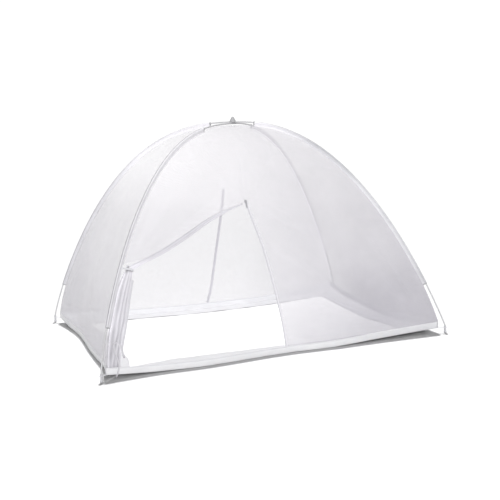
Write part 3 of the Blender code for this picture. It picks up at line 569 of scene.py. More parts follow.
def fold_depth(wall: Wall, point: Vector) -> float:
    """How far a wall's folds push the cloth out at a point.

    Args:
        wall: The wall.
        point: The point before it is pushed.

    Returns:
        The distance in metres.
    """
    here = Vector((point[wall.axis], point.z))
    depth = 0.0
    for fold in FOLDS[wall.side]:
        start = Vector((fold.along_from, fold.up_from))
        run = Vector((fold.along_to, fold.up_to)) - start
        share = min(max((here - start).dot(run) / run.length_squared, 0.0), 1.0)
        away = (here - start - run * share).length / fold.half_width
        depth += fold.depth * math.exp(-(away**2))
    return depth


# The waves below, and those of the folds further on, are uneven on purpose. Their numbers without
# a name are tried one by one, so that no two of them keep step.


def uneven(place: float, seed: float) -> float:
    """A smooth uneven wave of about -1 to 1 along a line.

    Args:
        place: The distance along it, in wavelengths.
        seed: A number that shifts the wave.

    Returns:
        Its height there.
    """
    slow = math.sin(2 * math.pi * place * 0.37 + seed * 1.7)
    quick = math.sin(2 * math.pi * place * 1.71 + seed * 2.3)
    return 0.6 * math.sin(2 * math.pi * place + seed + 1.3 * slow) + 0.4 * quick


# ---- shader wiring -----------------------------------------------------------------------------

Value = Union["Wire", float]
WHITE = (1.0, 1.0, 1.0, 1.0)
CLOTH_SHEEN = {"Specular IOR Level": 0.2, "Sheen Weight": 0.15}


class Wire:
    """An output socket that can be used in sums."""

    def __init__(self, maker: "Wiring", socket: bpy.types.NodeSocket) -> None:
        """Keeps the socket and the wiring that it is in."""
        self.maker = maker
        self.socket = socket

    def _maths(self, operation: str, *values: Value) -> "Wire":
        """Adds a Math node."""
        return self.maker.node("ShaderNodeMath", {"operation": operation}, dict(enumerate(values)))

    def __add__(self, other: Value) -> "Wire":
        """Adds."""
        return self._maths("ADD", self, other)

    def __sub__(self, other: Value) -> "Wire":
        """Takes away."""
        return self._maths("SUBTRACT", self, other)

    def __rsub__(self, other: Value) -> "Wire":
        """Takes away from a number."""
        return self._maths("SUBTRACT", other, self)

    def __mul__(self, other: Value) -> "Wire":
        """Multiplies."""
        return self._maths("MULTIPLY", self, other)

    def __truediv__(self, other: Value) -> "Wire":
        """Divides."""
        return self._maths("DIVIDE", self, other)

    __radd__ = __add__
    __rmul__ = __mul__

    def threads(self, pitch: float) -> "Wire":
        """A wave of this pitch, from 0 to 1."""
        return self._maths("SINE", self * (2 * math.pi / pitch)) * 0.5 + 0.5

    def above(self, other: Value) -> "Wire":
        """1 where this is above another value, and 0 elsewhere."""
        return self._maths("GREATER_THAN", self, other)

    def saw(self) -> "Wire":
        """The part after the decimal point."""
        return self._maths("FRACT", self)

    def size(self) -> "Wire":
        """The value without its sign."""
        return self._maths("ABSOLUTE", self)


class Wiring:
    """Builds the nodes of one material, or of the world."""

    def __init__(self, owner: Union[Material, bpy.types.World]) -> None:
        """Gives a material or the world its nodes.

        Args:
            owner: The material or the world.
        """
        self.owner = owner
        owner.use_nodes = True
        self.tree = owner.node_tree

    def node(
        self,
        kind: str,
        settings: Optional[dict[str, object]] = None,
        links: Optional[dict[Union[int, str], object]] = None,
        output: Union[int, str] = 0,
    ) -> Wire:
        """Adds a node.

        Args:
            kind: The node's type.
            settings: Its properties, set first.
            links: Values or wires for its inputs.
            output: The output to return.

        Returns:
            The wire that comes out of it.
        """
        made = self.tree.nodes.new(kind)
        for key, value in (settings or {}).items():
            setattr(made, key, value)
        self.plug(made, links or {})
        return Wire(self, made.outputs[output])

    def plug(self, node: bpy.types.Node, links: dict[Union[int, str], object]) -> None:
        """Links or sets a node's inputs.

        Args:
            node: The node.
            links: A wire or a value for each input.
        """
        for key, value in links.items():
            if isinstance(value, Wire):
                self.tree.links.new(value.socket, node.inputs[key])
            else:
                node.inputs[key].default_value = value

    def dress(self, colour: object, roughness: Value, inputs: dict[str, object]) -> Material:
        """Sets the Principled shader's inputs.

        Args:
            colour: The base colour, a wire or a value.
            roughness: The roughness.
            inputs: Other inputs.

        Returns:
            The material.
        """
        looks = {"Base Color": colour, "Roughness": roughness, **inputs}
        self.plug(self.tree.nodes["Principled BSDF"], looks)
        return self.owner

    def part(self, where: Wire, axis: str) -> Wire:
        """One coordinate of a place."""
        return self.node("ShaderNodeSeparateXYZ", None, {0: where}, axis)

    def cloth_place(self) -> tuple[Wire, Wire]:
        """The place on the cloth in metres, along its two sides."""
        where = self.node("ShaderNodeUVMap", {"uv_map": UV_NAME})
        return self.part(where, "X"), self.part(where, "Y")

    def object_place(self) -> Wire:
        """The place in the object's own space."""
        return self.node("ShaderNodeTexCoord", None, None, "Object")

    def along(self, axis: str, start: float, end: float) -> Wire:
        """Rises smoothly from 0 at one place on an axis to 1 at another.

        Args:
            axis: The axis, X, Y or Z.
            start: Where it is 0, in metres.
            end: Where it is 1, in metres.

        Returns:
            The wire that rises.
        """
        falls = float(start > end)
        links = {"Value": self.part(self.object_place(), axis), "To Min": falls, "To Max": 1 - falls}
        links.update({"From Min": min(start, end), "From Max": max(start, end)})
        return self.node("ShaderNodeMapRange", {"interpolation_type": "SMOOTHSTEP"}, links)

    def clouds(self, scale: float, detail: float = 3.0) -> Wire:
        """Soft noise from 0 to 1."""
        links = {"Vector": self.object_place(), "Scale": scale, "Detail": detail}
        return self.node("ShaderNodeTexNoise", None, links, "Fac")

    def weave(self, one: Wire, other: Wire, pitch: float) -> Wire:
        """A plain weave of threads, from 0 to 1."""
        warp, weft = one.threads(pitch), other.threads(pitch)
        return warp * (1 - weft) + weft * (1 - warp)

    def mixed(self, share: Value, low: object, high: object) -> Wire:
        """A mix of two colours, each a wire or a value."""
        return self.node("ShaderNodeMix", {"data_type": "RGBA"}, {0: share, 6: low, 7: high}, 2)

    def between(self, share: Value, low: Colour, high: Colour) -> Wire:
        """A colour between two others."""
        return self.mixed(share, (*low, 1.0), (*high, 1.0))

    def relief(self, height: Wire, distance: float, strength: float) -> Wire:
        """A bumped normal from a height of 0 to 1."""
        links = {"Height": height, "Distance": distance, "Strength": strength}
        return self.node("ShaderNodeBump", None, links, "Normal")


# The weights in the finishes' sums are set after the tones of the photo.


@dataclass(frozen=True)
class NetFinish:
    """Knitted net, sheer in one layer, covering more towards the foot and the ends, with painted
    light and shade.
    """

    name: str
    light: Colour
    dark: Colour
    cover: float
    cover_low: float = 0.0
    cover_foot: float = 0.0
    cover_right: float = 0.0
    cover_left: float = 0.0
    floor_shade: float = 0.0
    fold_shade: float = 0.0
    high_shade: float = 0.0
    pitch: float = 0.0024

    def make(self) -> Material:
        """Makes the material.

        Returns:
            The material.
        """
        wiring = Wiring(bpy.data.materials.new(self.name))
        across, up = wiring.cloth_place()
        threads = across.threads(self.pitch) * up.threads(self.pitch)
        patches = wiring.clouds(5.0)
        low, right = wiring.along("Z", 1.1, 0.0), wiring.along("X", 0.0, 1.0)
        left = wiring.along("X", -0.5, -1.0) * low
        back = wiring.along("Y", 0.1, 0.6)
        near = (1 - back) * low
        foot = (1 - back) * wiring.along("Z", 0.5, 0.05)
        crown = wiring.along("Z", 0.7, 1.15) * wiring.along("X", 0.1, -0.4)
        over_floor = foot * wiring.along("X", -0.2, 0.2) * wiring.along("X", 0.95, 0.5)
        cover = threads * -0.20 + (self.cover + 0.05) + (patches - 0.5) * 0.08
        cover = cover + near * self.cover_low + foot * self.cover_foot - crown * 0.12
        cover = cover + right * self.cover_right + left * self.cover_left
        # Painted light and shade: darker towards the back, the right end, the lower front, the lower
        # left end and low in the front where the floor shows through; lighter near the crown on the
        # left, a painted highlight.
        shade = 0.80 + (patches - 0.5) * 0.3 - back * 0.45 + crown * 0.6
        shade = shade - near * 0.2 - right * 0.45 - left * 0.22 - over_floor * self.floor_shade
        # Gathered net: painted shade read from the fold attribute, darker in the hollows of the
        # folds, and painted shade higher up, over the swag.
        if self.fold_shade:
            fold = wiring.node("ShaderNodeAttribute", {"attribute_name": FOLD_NAME}, None, "Fac")
            shade = shade + (fold - 0.5) * self.fold_shade
            shade = shade - wiring.along("Z", 0.50, 0.66) * self.high_shade
        colour = wiring.between(shade, self.dark, self.light)
        sheen = {"Specular IOR Level": 0.15, "Sheen Weight": 0.25, "Sheen Roughness": 0.6}
        normal = wiring.relief(threads, 0.0003, 0.35)
        return wiring.dress(colour, 0.92, {"Alpha": cover, "Normal": normal, **sheen})


@dataclass(frozen=True)
class WovenFinish:
    """Closely woven cloth, with a row of stitches along its edge."""

    name: str
    light: Colour
    dark: Colour
    pitch: float = 0.0014
    stitch_at: float = 0.006
    stitch_length: float = 0.007
    stitch_half_width: float = 1 / 1200
    seam_height: float = 0.0
    right_shade: float = 0.0

    def make(self) -> Material:
        """Makes the material.

        Returns:
            The material.
        """
        wiring = Wiring(bpy.data.materials.new(self.name))
        across, up = wiring.cloth_place()
        weave = wiring.weave(across, up, self.pitch)
        stitch = (self.stitch_half_width - (up - self.stitch_at).size()).above(0.0)
        stitch = stitch * (across / self.stitch_length).saw().above(0.25)
        patches, worn = wiring.clouds(7.0), wiring.clouds(90.0, 2.0)
        shade = patches * 0.65 + weave * 0.20 + worn * 0.15 - stitch * 0.45
        if self.seam_height:
            shade = shade - (self.seam_height - up).above(0.0) * 0.9
        # Painted shade: darker towards the right.
        if self.right_shade:
            shade = shade - wiring.along("X", 0.1, 1.0) * self.right_shade
        colour = wiring.between(shade, self.dark, self.light)
        normal = wiring.relief(weave - stitch * 0.8, 0.0004, 0.5)
        return wiring.dress(colour, worn * 0.12 + 0.80, {"Normal": normal, **CLOTH_SHEEN})


@dataclass(frozen=True)
class SleeveFinish:
    """The cloth round a rod, with a dark line along its crest, of stitches and painted shadow, darker
    ends, and painted light and shade.
    """

    name: str = "sleeve cloth"
    light: Colour = (0.78, 0.77, 0.80)
    dark: Colour = (0.38, 0.38, 0.40)
    line: Colour = (0.22, 0.22, 0.24)
    end_colour: Colour = (0.34, 0.34, 0.35)
    pitch: float = 0.0014
    crest: float = 0.0136
    line_half_width: float = 0.0020
    dark_end_length: float = 0.007

    def make(self) -> Material:
        """Makes the material.

        Returns:
            The material.
        """
        wiring = Wiring(bpy.data.materials.new(self.name))
        along, round_it = wiring.cloth_place()
        weave = wiring.weave(along, round_it, self.pitch)
        patches, low = wiring.clouds(9.0), wiring.along("Z", 1.1, 0.1)
        right = wiring.along("X", -0.05, 0.6)
        back = wiring.along("Y", -0.2, 0.4) * (1 - right)
        far = wiring.along("Y", -0.1, 0.2) * right
        crown = wiring.along("Z", 0.85, 1.15)
        web = (round_it - 2 * self.crest).above(0.0)
        # Painted light and shade: darker low down, towards the right and at the back on the left;
        # lighter on the web below the tube; lighter near the crown on the left and darker there on
        # the right. The back right sleeve is made lighter.
        shade = 0.75 + (patches - 0.5) * 0.4 + weave * 0.1 - low * 0.3
        shade = shade - right * 0.35 - back * 0.5 + web * 0.3 + far * 0.75
        shade = shade + crown * (1 - right) * 0.4 - crown * right * 0.5
        cloth = wiring.between(shade, self.dark, self.light)
        # A dark line along the crest: stitches, and a painted shadow of the rod.
        line = (self.line_half_width - (round_it - self.crest).size()).above(0.0)
        lined = wiring.mixed(line, cloth, (*self.line, 1.0))
        # Darker over a short length at each end.
        dark_end = (self.dark_end_length - along).above(0.0)
        colour = wiring.mixed(dark_end, lined, (*self.end_colour, 1.0))
        normal = wiring.relief(weave - line * 0.6, 0.0004, 0.5)
        return wiring.dress(colour, 0.85 - dark_end * 0.2, {"Normal": normal, **CLOTH_SHEEN})


@dataclass(frozen=True)
class ZipFinish:
    """Ribbed zip tape with a coil along its middle or its edge."""

    name: str
    light: Colour
    dark: Colour
    coil_at: float
    coil_half_width: float = 0.0022
    coil_pitch: float = 0.0026
    rib_pitch: float = 0.0012

    def make(self) -> Material:
        """Makes the material.

        Returns:
            The material.
        """
        wiring = Wiring(bpy.data.materials.new(self.name))
        across, up = wiring.cloth_place()
        coil = (1 - (across - self.coil_at).size() / self.coil_half_width).above(0.0)
        teeth, ribs = up.threads(self.coil_pitch), across.threads(self.rib_pitch)
        shade = (1 - coil) * (ribs * 0.3 + 0.7) + coil * teeth * 0.55
        colour = wiring.between(shade, self.dark, self.light)
        normal = wiring.relief(coil * teeth + ribs * 0.2, 0.0005, 0.6)
        return wiring.dress(colour, 0.75 - coil * 0.3, {"Normal": normal, "Specular IOR Level": 0.3})


@dataclass(frozen=True)
class MouldedFinish:
    """Moulded plastic or a coated rod, with faint mottling and wear."""

    name: str
    light: Colour
    dark: Colour
    gloss: float = 0.45
    grain: float = 220.0
    coat: float = 0.0

    def make(self) -> Material:
        """Makes the material.

        Returns:
            The material.
        """
        wiring = Wiring(bpy.data.materials.new(self.name))
        mottle, grain = wiring.clouds(38.0, 4.0), wiring.clouds(self.grain, 2.0)
        colour = wiring.between(mottle, self.dark, self.light)
        normal = wiring.relief(grain, 0.0002, 0.3)
        rough = grain * 0.16 + self.gloss - 0.08
        return wiring.dress(colour, rough, {"Normal": normal, "Coat Weight": self.coat})


FINISHES = {
    "net": NetFinish("sheer net", (0.70, 0.68, 0.715), (0.36, 0.35, 0.385), 0.38, cover_low=0.11,
                     cover_foot=0.18, cover_right=0.15, cover_left=0.15, floor_shade=0.36),
    "gathered": NetFinish("gathered net", (0.86, 0.85, 0.88), (0.46, 0.45, 0.48), 0.86,
                          fold_shade=0.55, high_shade=0.50),
    "border": WovenFinish("border cloth", (0.80, 0.80, 0.81), (0.60, 0.60, 0.62), seam_height=0.006,
                          right_shade=0.6),
    "sleeve": SleeveFinish(),
    "strap": WovenFinish("corner webbing", (0.74, 0.74, 0.76), (0.60, 0.60, 0.62)),
    "rod": MouldedFinish("coated rod", (0.52, 0.52, 0.53), (0.42, 0.42, 0.43), 0.35, 300, 0.2),
    "cap": MouldedFinish("grey cap", (0.52, 0.52, 0.54), (0.42, 0.42, 0.44)),
    "clip": MouldedFinish("dark clip", (0.46, 0.46, 0.47), (0.28, 0.28, 0.29)),
    "slider": MouldedFinish("dark slider", (0.40, 0.40, 0.42), (0.28, 0.28, 0.30), 0.35),
    "door_zip": ZipFinish("door zip tape", (0.64, 0.63, 0.66), (0.44, 0.44, 0.47), -0.0045),
    "back_zip": ZipFinish("back zip tape", (0.62, 0.61, 0.64), (0.36, 0.36, 0.39), 0.0),
    "loose_tape": ZipFinish("loose tape", (0.56, 0.55, 0.58), (0.36, 0.36, 0.38), -0.0045),
    "tie": WovenFinish("tie tape", (0.66, 0.66, 0.68), (0.54, 0.54, 0.57)),
}


# ---- making meshes -----------------------------------------------------------------------------


def placed(name: str, data: bpy.types.ID) -> Piece:
    """Puts a mesh, a lamp or a camera into the scene, at the origin.

    Args:
        name: The object's name.
        data: The mesh, the lamp or the camera.

    Returns:
        The object.
    """
    made = bpy.data.objects.new(name, data)
    bpy.context.scene.collection.objects.link(made)
    return made


def apply_modifiers(piece: Piece) -> None:
    """Applies all of a piece's modifiers.

    Args:
        piece: The piece.
    """
    bpy.ops.object.select_all(action="DESELECT")
    piece.select_set(True)
    bpy.context.view_layer.objects.active = piece
    for modifier in list(piece.modifiers):
        bpy.ops.object.modifier_apply(modifier=modifier.name)


class ClothBuilder:
    """Collects grids of points with their place on the cloth, and makes one mesh of them."""

    def __init__(self, name: str) -> None:
        """Starts an empty cloth.

        Args:
            name: The piece's name.
        """
        self.name = name
        self.points: list[tuple[float, float, float]] = []
        self.places: list[tuple[float, float]] = []
        self.faces: list[tuple[int, ...]] = []
        self.folds: list[float] = []
        self.known: dict[tuple[float, float, float], int] = {}

    def vertex(self, point: Vector, place: tuple[float, ...]) -> int:
        """Makes a vertex, or finds the one that is already there.

        Args:
            point: Where it is.
            place: Its place on the cloth.

        Returns:
            Its number.
        """
        key = (round(point.x, 6), round(point.y, 6), round(point.z, 6))
        if key not in self.known:
            self.known[key] = len(self.points)
            self.points.append(tuple(point))
            self.places.append(place[:2])
            self.folds.extend(place[2:])
        return self.known[key]

    def grid(self, rows: Sequence[Line], places: Sequence[Sequence[tuple[float, ...]]]) -> None:
        """Adds a grid of faces.

        Args:
            rows: Rows of points.
            places: The place on the cloth of each point, in metres, and, if the cloth is gathered, a
            painted shade tone for it, from 0 to 1, lower in the hollows of its folds.
        """
        numbers = [[self.vertex(*both) for both in zip(*pair)] for pair in zip(rows, places)]
        for low, high in zip(numbers, numbers[1:]):
            for i in range(len(low) - 1):
                corners = tuple(dict.fromkeys((low[i], low[i + 1], high[i + 1], high[i])))
                if len(corners) > 2:
                    self.faces.append(corners)

    def make(self, thickness: float = 0.0, outward: Optional[Vector] = None) -> Piece:
        """Makes the object.

        Args:
            thickness: The cloth's thickness, or 0 for a single layer.
            outward: The way that its outside looks, if the faces must be turned to it.

        Returns:
            The piece, at the origin.
        """
        mesh = bpy.data.meshes.new(self.name)
        mesh.from_pydata(self.points, [], self.faces)
        layer = mesh.uv_layers.new(name=UV_NAME)
        loops = np.empty(len(mesh.loops), dtype=np.int32)
        mesh.loops.foreach_get("vertex_index", loops)
        layer.data.foreach_set("uv", np.array(self.places, dtype=np.float32)[loops].ravel())
        # The gathered net's painted shade tones, kept as a point attribute.
        if self.folds:
            mesh.attributes.new(FOLD_NAME, "FLOAT", "POINT").data.foreach_set("value", self.folds)
        mesh.shade_smooth()
        piece = placed(self.name, mesh)
        if outward is not None:
            looks = sum((face.normal * face.area for face in mesh.polygons), Vector((0, 0, 0)))
            if looks.dot(outward) < 0:
                mesh.flip_normals()
        if thickness:
            solid = piece.modifiers.new("thickness", "SOLIDIFY")
            solid.thickness = thickness
            solid.offset = 0.0
            apply_modifiers(piece)
        return piece


class SkinBuilder:
    """Makes a closed body of rings of vertices, with their place on the cloth."""

    def __init__(self, name: str) -> None:
        """Starts an empty body.

        Args:
            name: The piece's name.
        """
        self.name = name
        self.shape = bmesh.new()
        self.layer = self.shape.loops.layers.uv.new(UV_NAME)

    def rings(self, loops: Sequence[Line]) -> list[list[bmesh.types.BMVert]]:
        """Adds a ring of vertices for each loop of points."""
        return [[self.shape.verts.new(point) for point in loop] for loop in loops]

    def join(
        self,
        rings: Sequence[list[bmesh.types.BMVert]],
        place: Callable[[int, int], tuple[float, float]] = lambda step, ring: (0.0, 0.0),
    ) -> None:
        """Adds the faces between neighbouring rings.

        Args:
            rings: The rings, each with the same number of vertices.
            place: The place on the cloth at a step round a ring, both given by number.
        """
        for k, (low, high) in enumerate(zip(rings, rings[1:])):
            for i in range(len(low)):
                j = (i + 1) % len(low)
                face = self.shape.faces.new((low[i], low[j], high[j], high[i]))
                corners = ((i, k), (i + 1, k), (i + 1, k + 1), (i, k + 1))
                for loop, corner in zip(face.loops, corners):
                    loop[self.layer].uv = place(*corner)

    def make(self, sharp: float) -> Piece:
        """Makes the object.

        Args:
            sharp: The angle in degrees from which its edges are sharp.

        Returns:
            The piece, at the origin.
        """
        bmesh.ops.recalc_face_normals(self.shape, faces=self.shape.faces)
        mesh = bpy.data.meshes.new(self.name)
        self.shape.to_mesh(mesh)
        self.shape.free()
        mesh.shade_smooth()
        mesh.set_sharp_from_angle(angle=math.radians(sharp))
        return placed(self.name, mesh)


def tube(name: str, loops: Sequence[Line], places: Sequence[float], across: Sequence[float]) -> Piece:
    """Makes a closed body from loops of points along a line.

    Args:
        name: The piece's name.
        loops: The loops, each with the same number of points.
        places: How far along the line each loop is, in metres.
        across: How far round the loop each point is, in metres.

    Returns:
        The piece.
    """
    body = SkinBuilder(name)
    rings = body.rings(loops)
    round_it = [*across, across[-1] + (across[-1] - across[-2])]
    body.join(rings, lambda step, ring: (round_it[step], places[ring]))
    for ring in (rings[0], rings[-1]):
        body.shape.faces.new(ring)
    return body.make(sharp=50)


def dress(piece: Piece, material: Material, node: str, shadow: bool = False) -> None:
    """Gives a piece its material and its body, sets whether it casts a shadow, and hides the solid
    that it replaces.

    Args:
        piece: The piece.
        material: Its material.
        node: The solid's name.
        shadow: Whether it casts a shadow.
    """
    piece.data.materials.append(material)
    piece.visible_shadow = shadow
    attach(piece, BODY)
    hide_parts(node)


def flat_area(piece: Piece) -> float:
    """The area of a piece's faces in square metres."""
    return sum(polygon.area for polygon in piece.data.polygons)


def distances(line: Line) -> list[float]:
    """How far along a line each of its points is.

    Args:
        line: The line.

    Returns:
        The distances in metres.
    """
    found = [0.0]
    for low, high in zip(line, line[1:]):
        found.append(found[-1] + (high - low).length)
    return found


def run_at(line: Line, i: int) -> Vector:
    """The run of a line at one of its points, from the point before it to the next."""
    return line[min(i + 1, len(line) - 1)] - line[max(i - 1, 0)]


def carried(line: Line, start: Vector) -> list[Vector]:
    """The way a tape's face looks along a line, carried on without twisting.

    Args:
        line: The tape's middle line.
        start: The way its face looks at the start.

    Returns:
        A direction for each point.
    """
    outs = [start.normalized()]
    for i in range(1, len(line)):
        run = run_at(line, i).normalized()
        outs.append((outs[-1] - run * outs[-1].dot(run)).normalized())
    return outs


def smooth_line(points: Line, parts: int) -> list[Vector]:
    """A smooth line through points.

    Args:
        points: The points.
        parts: The number of steps from each to the next.

    Returns:
        The line's points.
    """
    line, last = [], len(points) - 1
    for i in range(last):
        before, low = points[max(i - 1, 0)], points[i]
        high, after = points[i + 1], points[min(i + 2, last)]
        bend = 2 * before - 5 * low + 4 * high - after
        twist = 3 * low - before - 3 * high + after
        for t in (k / parts for k in range(parts)):
            line.append(0.5 * (2 * low + (high - before) * t + bend * t**2 + twist * t**3))
    return line + [points[last].copy()]


def ribbon(
    name: str,
    line: Line,
    outs: Line,
    width: float,
    thickness: float,
    chain: float = 0.0,
    chain_rise: float = 0.0011,
) -> Piece:
    """Makes a flat tape along a line.

    Args:
        name: The piece's name.
        line: Its middle line.
        outs: The way its face looks at each point.
        width: The tape's width.
        thickness: The tape's thickness.
        chain: The width of the coil raised along its middle, or 0.
        chain_rise: How far the coil stands up.

    Returns:
        The piece.
    """
    top, half = thickness / 2, width / 2
    section = [(-half, -top), (half, -top), (half, top)]
    if chain:
        coil = [(0.5, 0.0), (0.42, 0.7), (0.2, 1.0)]
        coil += [(-across, rise) for across, rise in reversed(coil)]
        section += [(chain * across, top + chain_rise * rise) for across, rise in coil]
    section.append((-half, top))
    loops = []
    for i, (point, out) in enumerate(zip(line, outs)):
        run = run_at(line, i)
        side = run.cross(out).normalized()
        face = side.cross(run).normalized()
        if face.dot(out) < 0:
            face.negate()
        loops.append([point + side * a + face * d for a, d in section])
    return tube(name, loops, distances(line), [a for a, _ in section])


# ---- the net -----------------------------------------------------------------------------------


@dataclass
class NetWalls:
    """The four walls of sheer net, each one sheet of cloth."""

    form: CanopyForm
    rows_per_row: int = 7
    columns_half: int = 76
    pucker_length: float = 0.045
    pucker_depth: float = 0.0026
    pucker_reach: float = 0.055
    calm_edge: float = 0.022
    fade_in: float = 0.2
    fade_out: float = 0.7
    never_below: float = 0.08
    slit_width: float = 0.006
    made: dict[Side, Piece] = field(default_factory=dict)

    def shares(self, wall: Wall, row: float, inset: float = 0.0) -> tuple[list[float], list[float]]:
        """Shares across a wall, up to its middle line and from there on.

        Args:
            wall: The wall.
            row: The row of cloth.
            inset: How far both parts stay off the middle line, as a share.

        Returns:
            The shares before the middle line, and those after it.
        """
        middle, count = self.form.middle_line(wall, row), self.columns_half
        left = [(middle - inset) * i / count for i in range(count + 1)]
        right = [middle + inset + (1 - middle - inset) * i / count for i in range(count + 1)]
        return left, right

    def rows(self, low: int, high: int) -> list[float]:
        """Fine rows between two rows of cloth."""
        count = (high - low) * self.rows_per_row
        return [low + (high - low) * i / count for i in range(count + 1)]

    def climb(self, wall: Wall) -> Callable[[float], float]:
        """Prepares how far up the cloth the rows of a wall are.

        Args:
            wall: The wall.

        Returns:
            A function from a row to its distance up the cloth in metres.
        """
        rows = self.rows(self.form.row_hem, self.form.row_crown)
        heights = distances([self.form.net_point(wall, row, 0.5) for row in rows])
        return lambda row: float(np.interp(row, rows, heights))

    def add_rows(
        self, cloth: ClothBuilder, wall: Wall, rows: Sequence[float], part: Optional[int]
    ) -> None:
        """Adds a block of rows to a wall's cloth.

        Args:
            cloth: The cloth.
            wall: The wall.
            rows: The rows.
            part: 0 for the part before the middle line, 1 for the part after it, None for both.
        """
        form, up_at = self.form, self.climb(wall)
        lines, places = [], []
        for row in rows:
            inset = 0.0
            if wall.side is Side.BACK and part is not None and row < form.row_slider:
                inset = self.slit_width / 2 / form.length * (1 + row / form.row_slider)
            left, right = self.shares(wall, row, inset)
            shares = left[:-1] + right if part is None else (left, right)[part]
            point_at = form.net_row(wall, row)
            lines.append([point_at(share) for share in shares])
            places.append([(point[wall.axis], up_at(row)) for point in lines[-1]])
        cloth.grid(lines, places)

    def add_swag(self, cloth: ClothBuilder, wall: Wall) -> None:
        """Adds the part of the front between the door's upper line and the slider's height.

        Args:
            cloth: The front's cloth.
            wall: The front.
        """
        form, count, up_at = self.form, self.columns_half, self.climb(wall)
        steps = (form.row_slider - form.row_tie) * self.rows_per_row
        rises = [form.swag_rise(i / count) for i in range(count + 1)]
        lines, places = [], []
        for step in range(steps + 1):
            drop = (form.row_slider - form.row_tie) * (1 - step / steps)
            rows = [form.row_slider - drop * (1 - rise) for rise in rises]
            shares = [i / count * form.middle_line(wall, row) for i, row in enumerate(rows)]
            lines.append([form.net_point(wall, row, share) for row, share in zip(rows, shares)])
            places.append([(point.x, up_at(row)) for point, row in zip(lines[-1], rows)])
        cloth.grid(lines, places)

    def crease(self, piece: Piece, wall: Wall) -> None:
        """Presses the narrow creases and the puckers along the seams into a wall.

        Args:
            piece: The wall's cloth, a single layer.
            wall: The wall.
        """
        mesh, count = piece.data, len(piece.data.vertices)
        points, normals = np.empty(count * 3), np.empty(count * 3)
        mesh.vertices.foreach_get("co", points)
        mesh.vertices.foreach_get("normal", normals)
        points, normals = points.reshape(-1, 3), normals.reshape(-1, 3)
        here = np.stack([points[:, wall.axis], points[:, 2]], 1)
        push = np.zeros(count)
        for crease in CREASES[wall.side]:
            start = np.array([crease.along_from, crease.up_from])
            run = np.array([crease.along_to, crease.up_to]) - start
            share = np.clip((here - start) @ run / (run @ run), 0.0, 1.0)
            away = np.linalg.norm(here - start - share[:, None] * run, axis=1)
            fading = np.clip(share / self.fade_in, 0, 1) * (1 - share) ** self.fade_out
            fading += self.never_below
            push += crease.depth * fading * np.exp(-((away / crease.half_width) ** 2))
        edge = self.edge_distance(mesh, points)
        along = here[:, 1] * 1.15 + here[:, 0] * 0.25
        wave = np.sin(2 * math.pi * along / self.pucker_length + 1.9 * np.sin(along * 17.0))
        wave = wave * (0.62 + 0.38 * np.sin(along * 9.3 + 1.1))
        push += self.pucker_depth * wave * np.exp(-edge / self.pucker_reach)
        push *= np.clip(edge / self.calm_edge, 0.0, 1.0)
        mesh.vertices.foreach_set("co", (points + normals * push[:, None]).ravel())
        mesh.update()

    def edge_distance(self, mesh: bpy.types.Mesh, points: np.ndarray) -> np.ndarray:
        """How far each vertex is from the cloth's nearest edge.

        Args:
            mesh: The cloth's mesh.
            points: Its vertices.

        Returns:
            The distances in metres.
        """
        uses = Counter(key for polygon in mesh.polygons for key in polygon.edge_keys)
        rim = sorted({vertex for key, used in uses.items() if used == 1 for vertex in key})
        block, nearest = 4000, []
        for low in range(0, len(points), block):
            runs = points[low : low + block, None, :] - points[rim][None, :, :]
            nearest.append(np.linalg.norm(runs, axis=2).min(1))
        return np.concatenate(nearest)

    def build_wall(self, wall: Wall, material: Material) -> Piece:
        """Args:
            wall: The wall.
            material: The net's material.

        Returns:
            The piece.
        """
        form = self.form
        cloth = ClothBuilder("sheer_net_" + wall.side.value)
        for part in {Side.FRONT: (1,), Side.BACK: (0, 1)}.get(wall.side, (None,)):
            self.add_rows(cloth, wall, self.rows(0, form.row_slider), part)
        if wall.side is Side.FRONT:
            self.add_swag(cloth, wall)
        self.add_rows(cloth, wall, self.rows(form.row_slider, form.row_crown), None)
        piece = cloth.make(outward=wall.outward)
        self.crease(piece, wall)
        dress(piece, material, "net_" + wall.side.value)
        return piece

    def build(self, material: Material) -> None:
        """Builds the four walls.

        Args:
            material: The net's material.
        """
        for side, wall in WALLS.items():
            self.made[side] = self.build_wall(wall, material)
            log.info("net %s: %.2f square metres", side.value, flat_area(self.made[side]))


# ---- the border --------------------------------------------------------------------------------


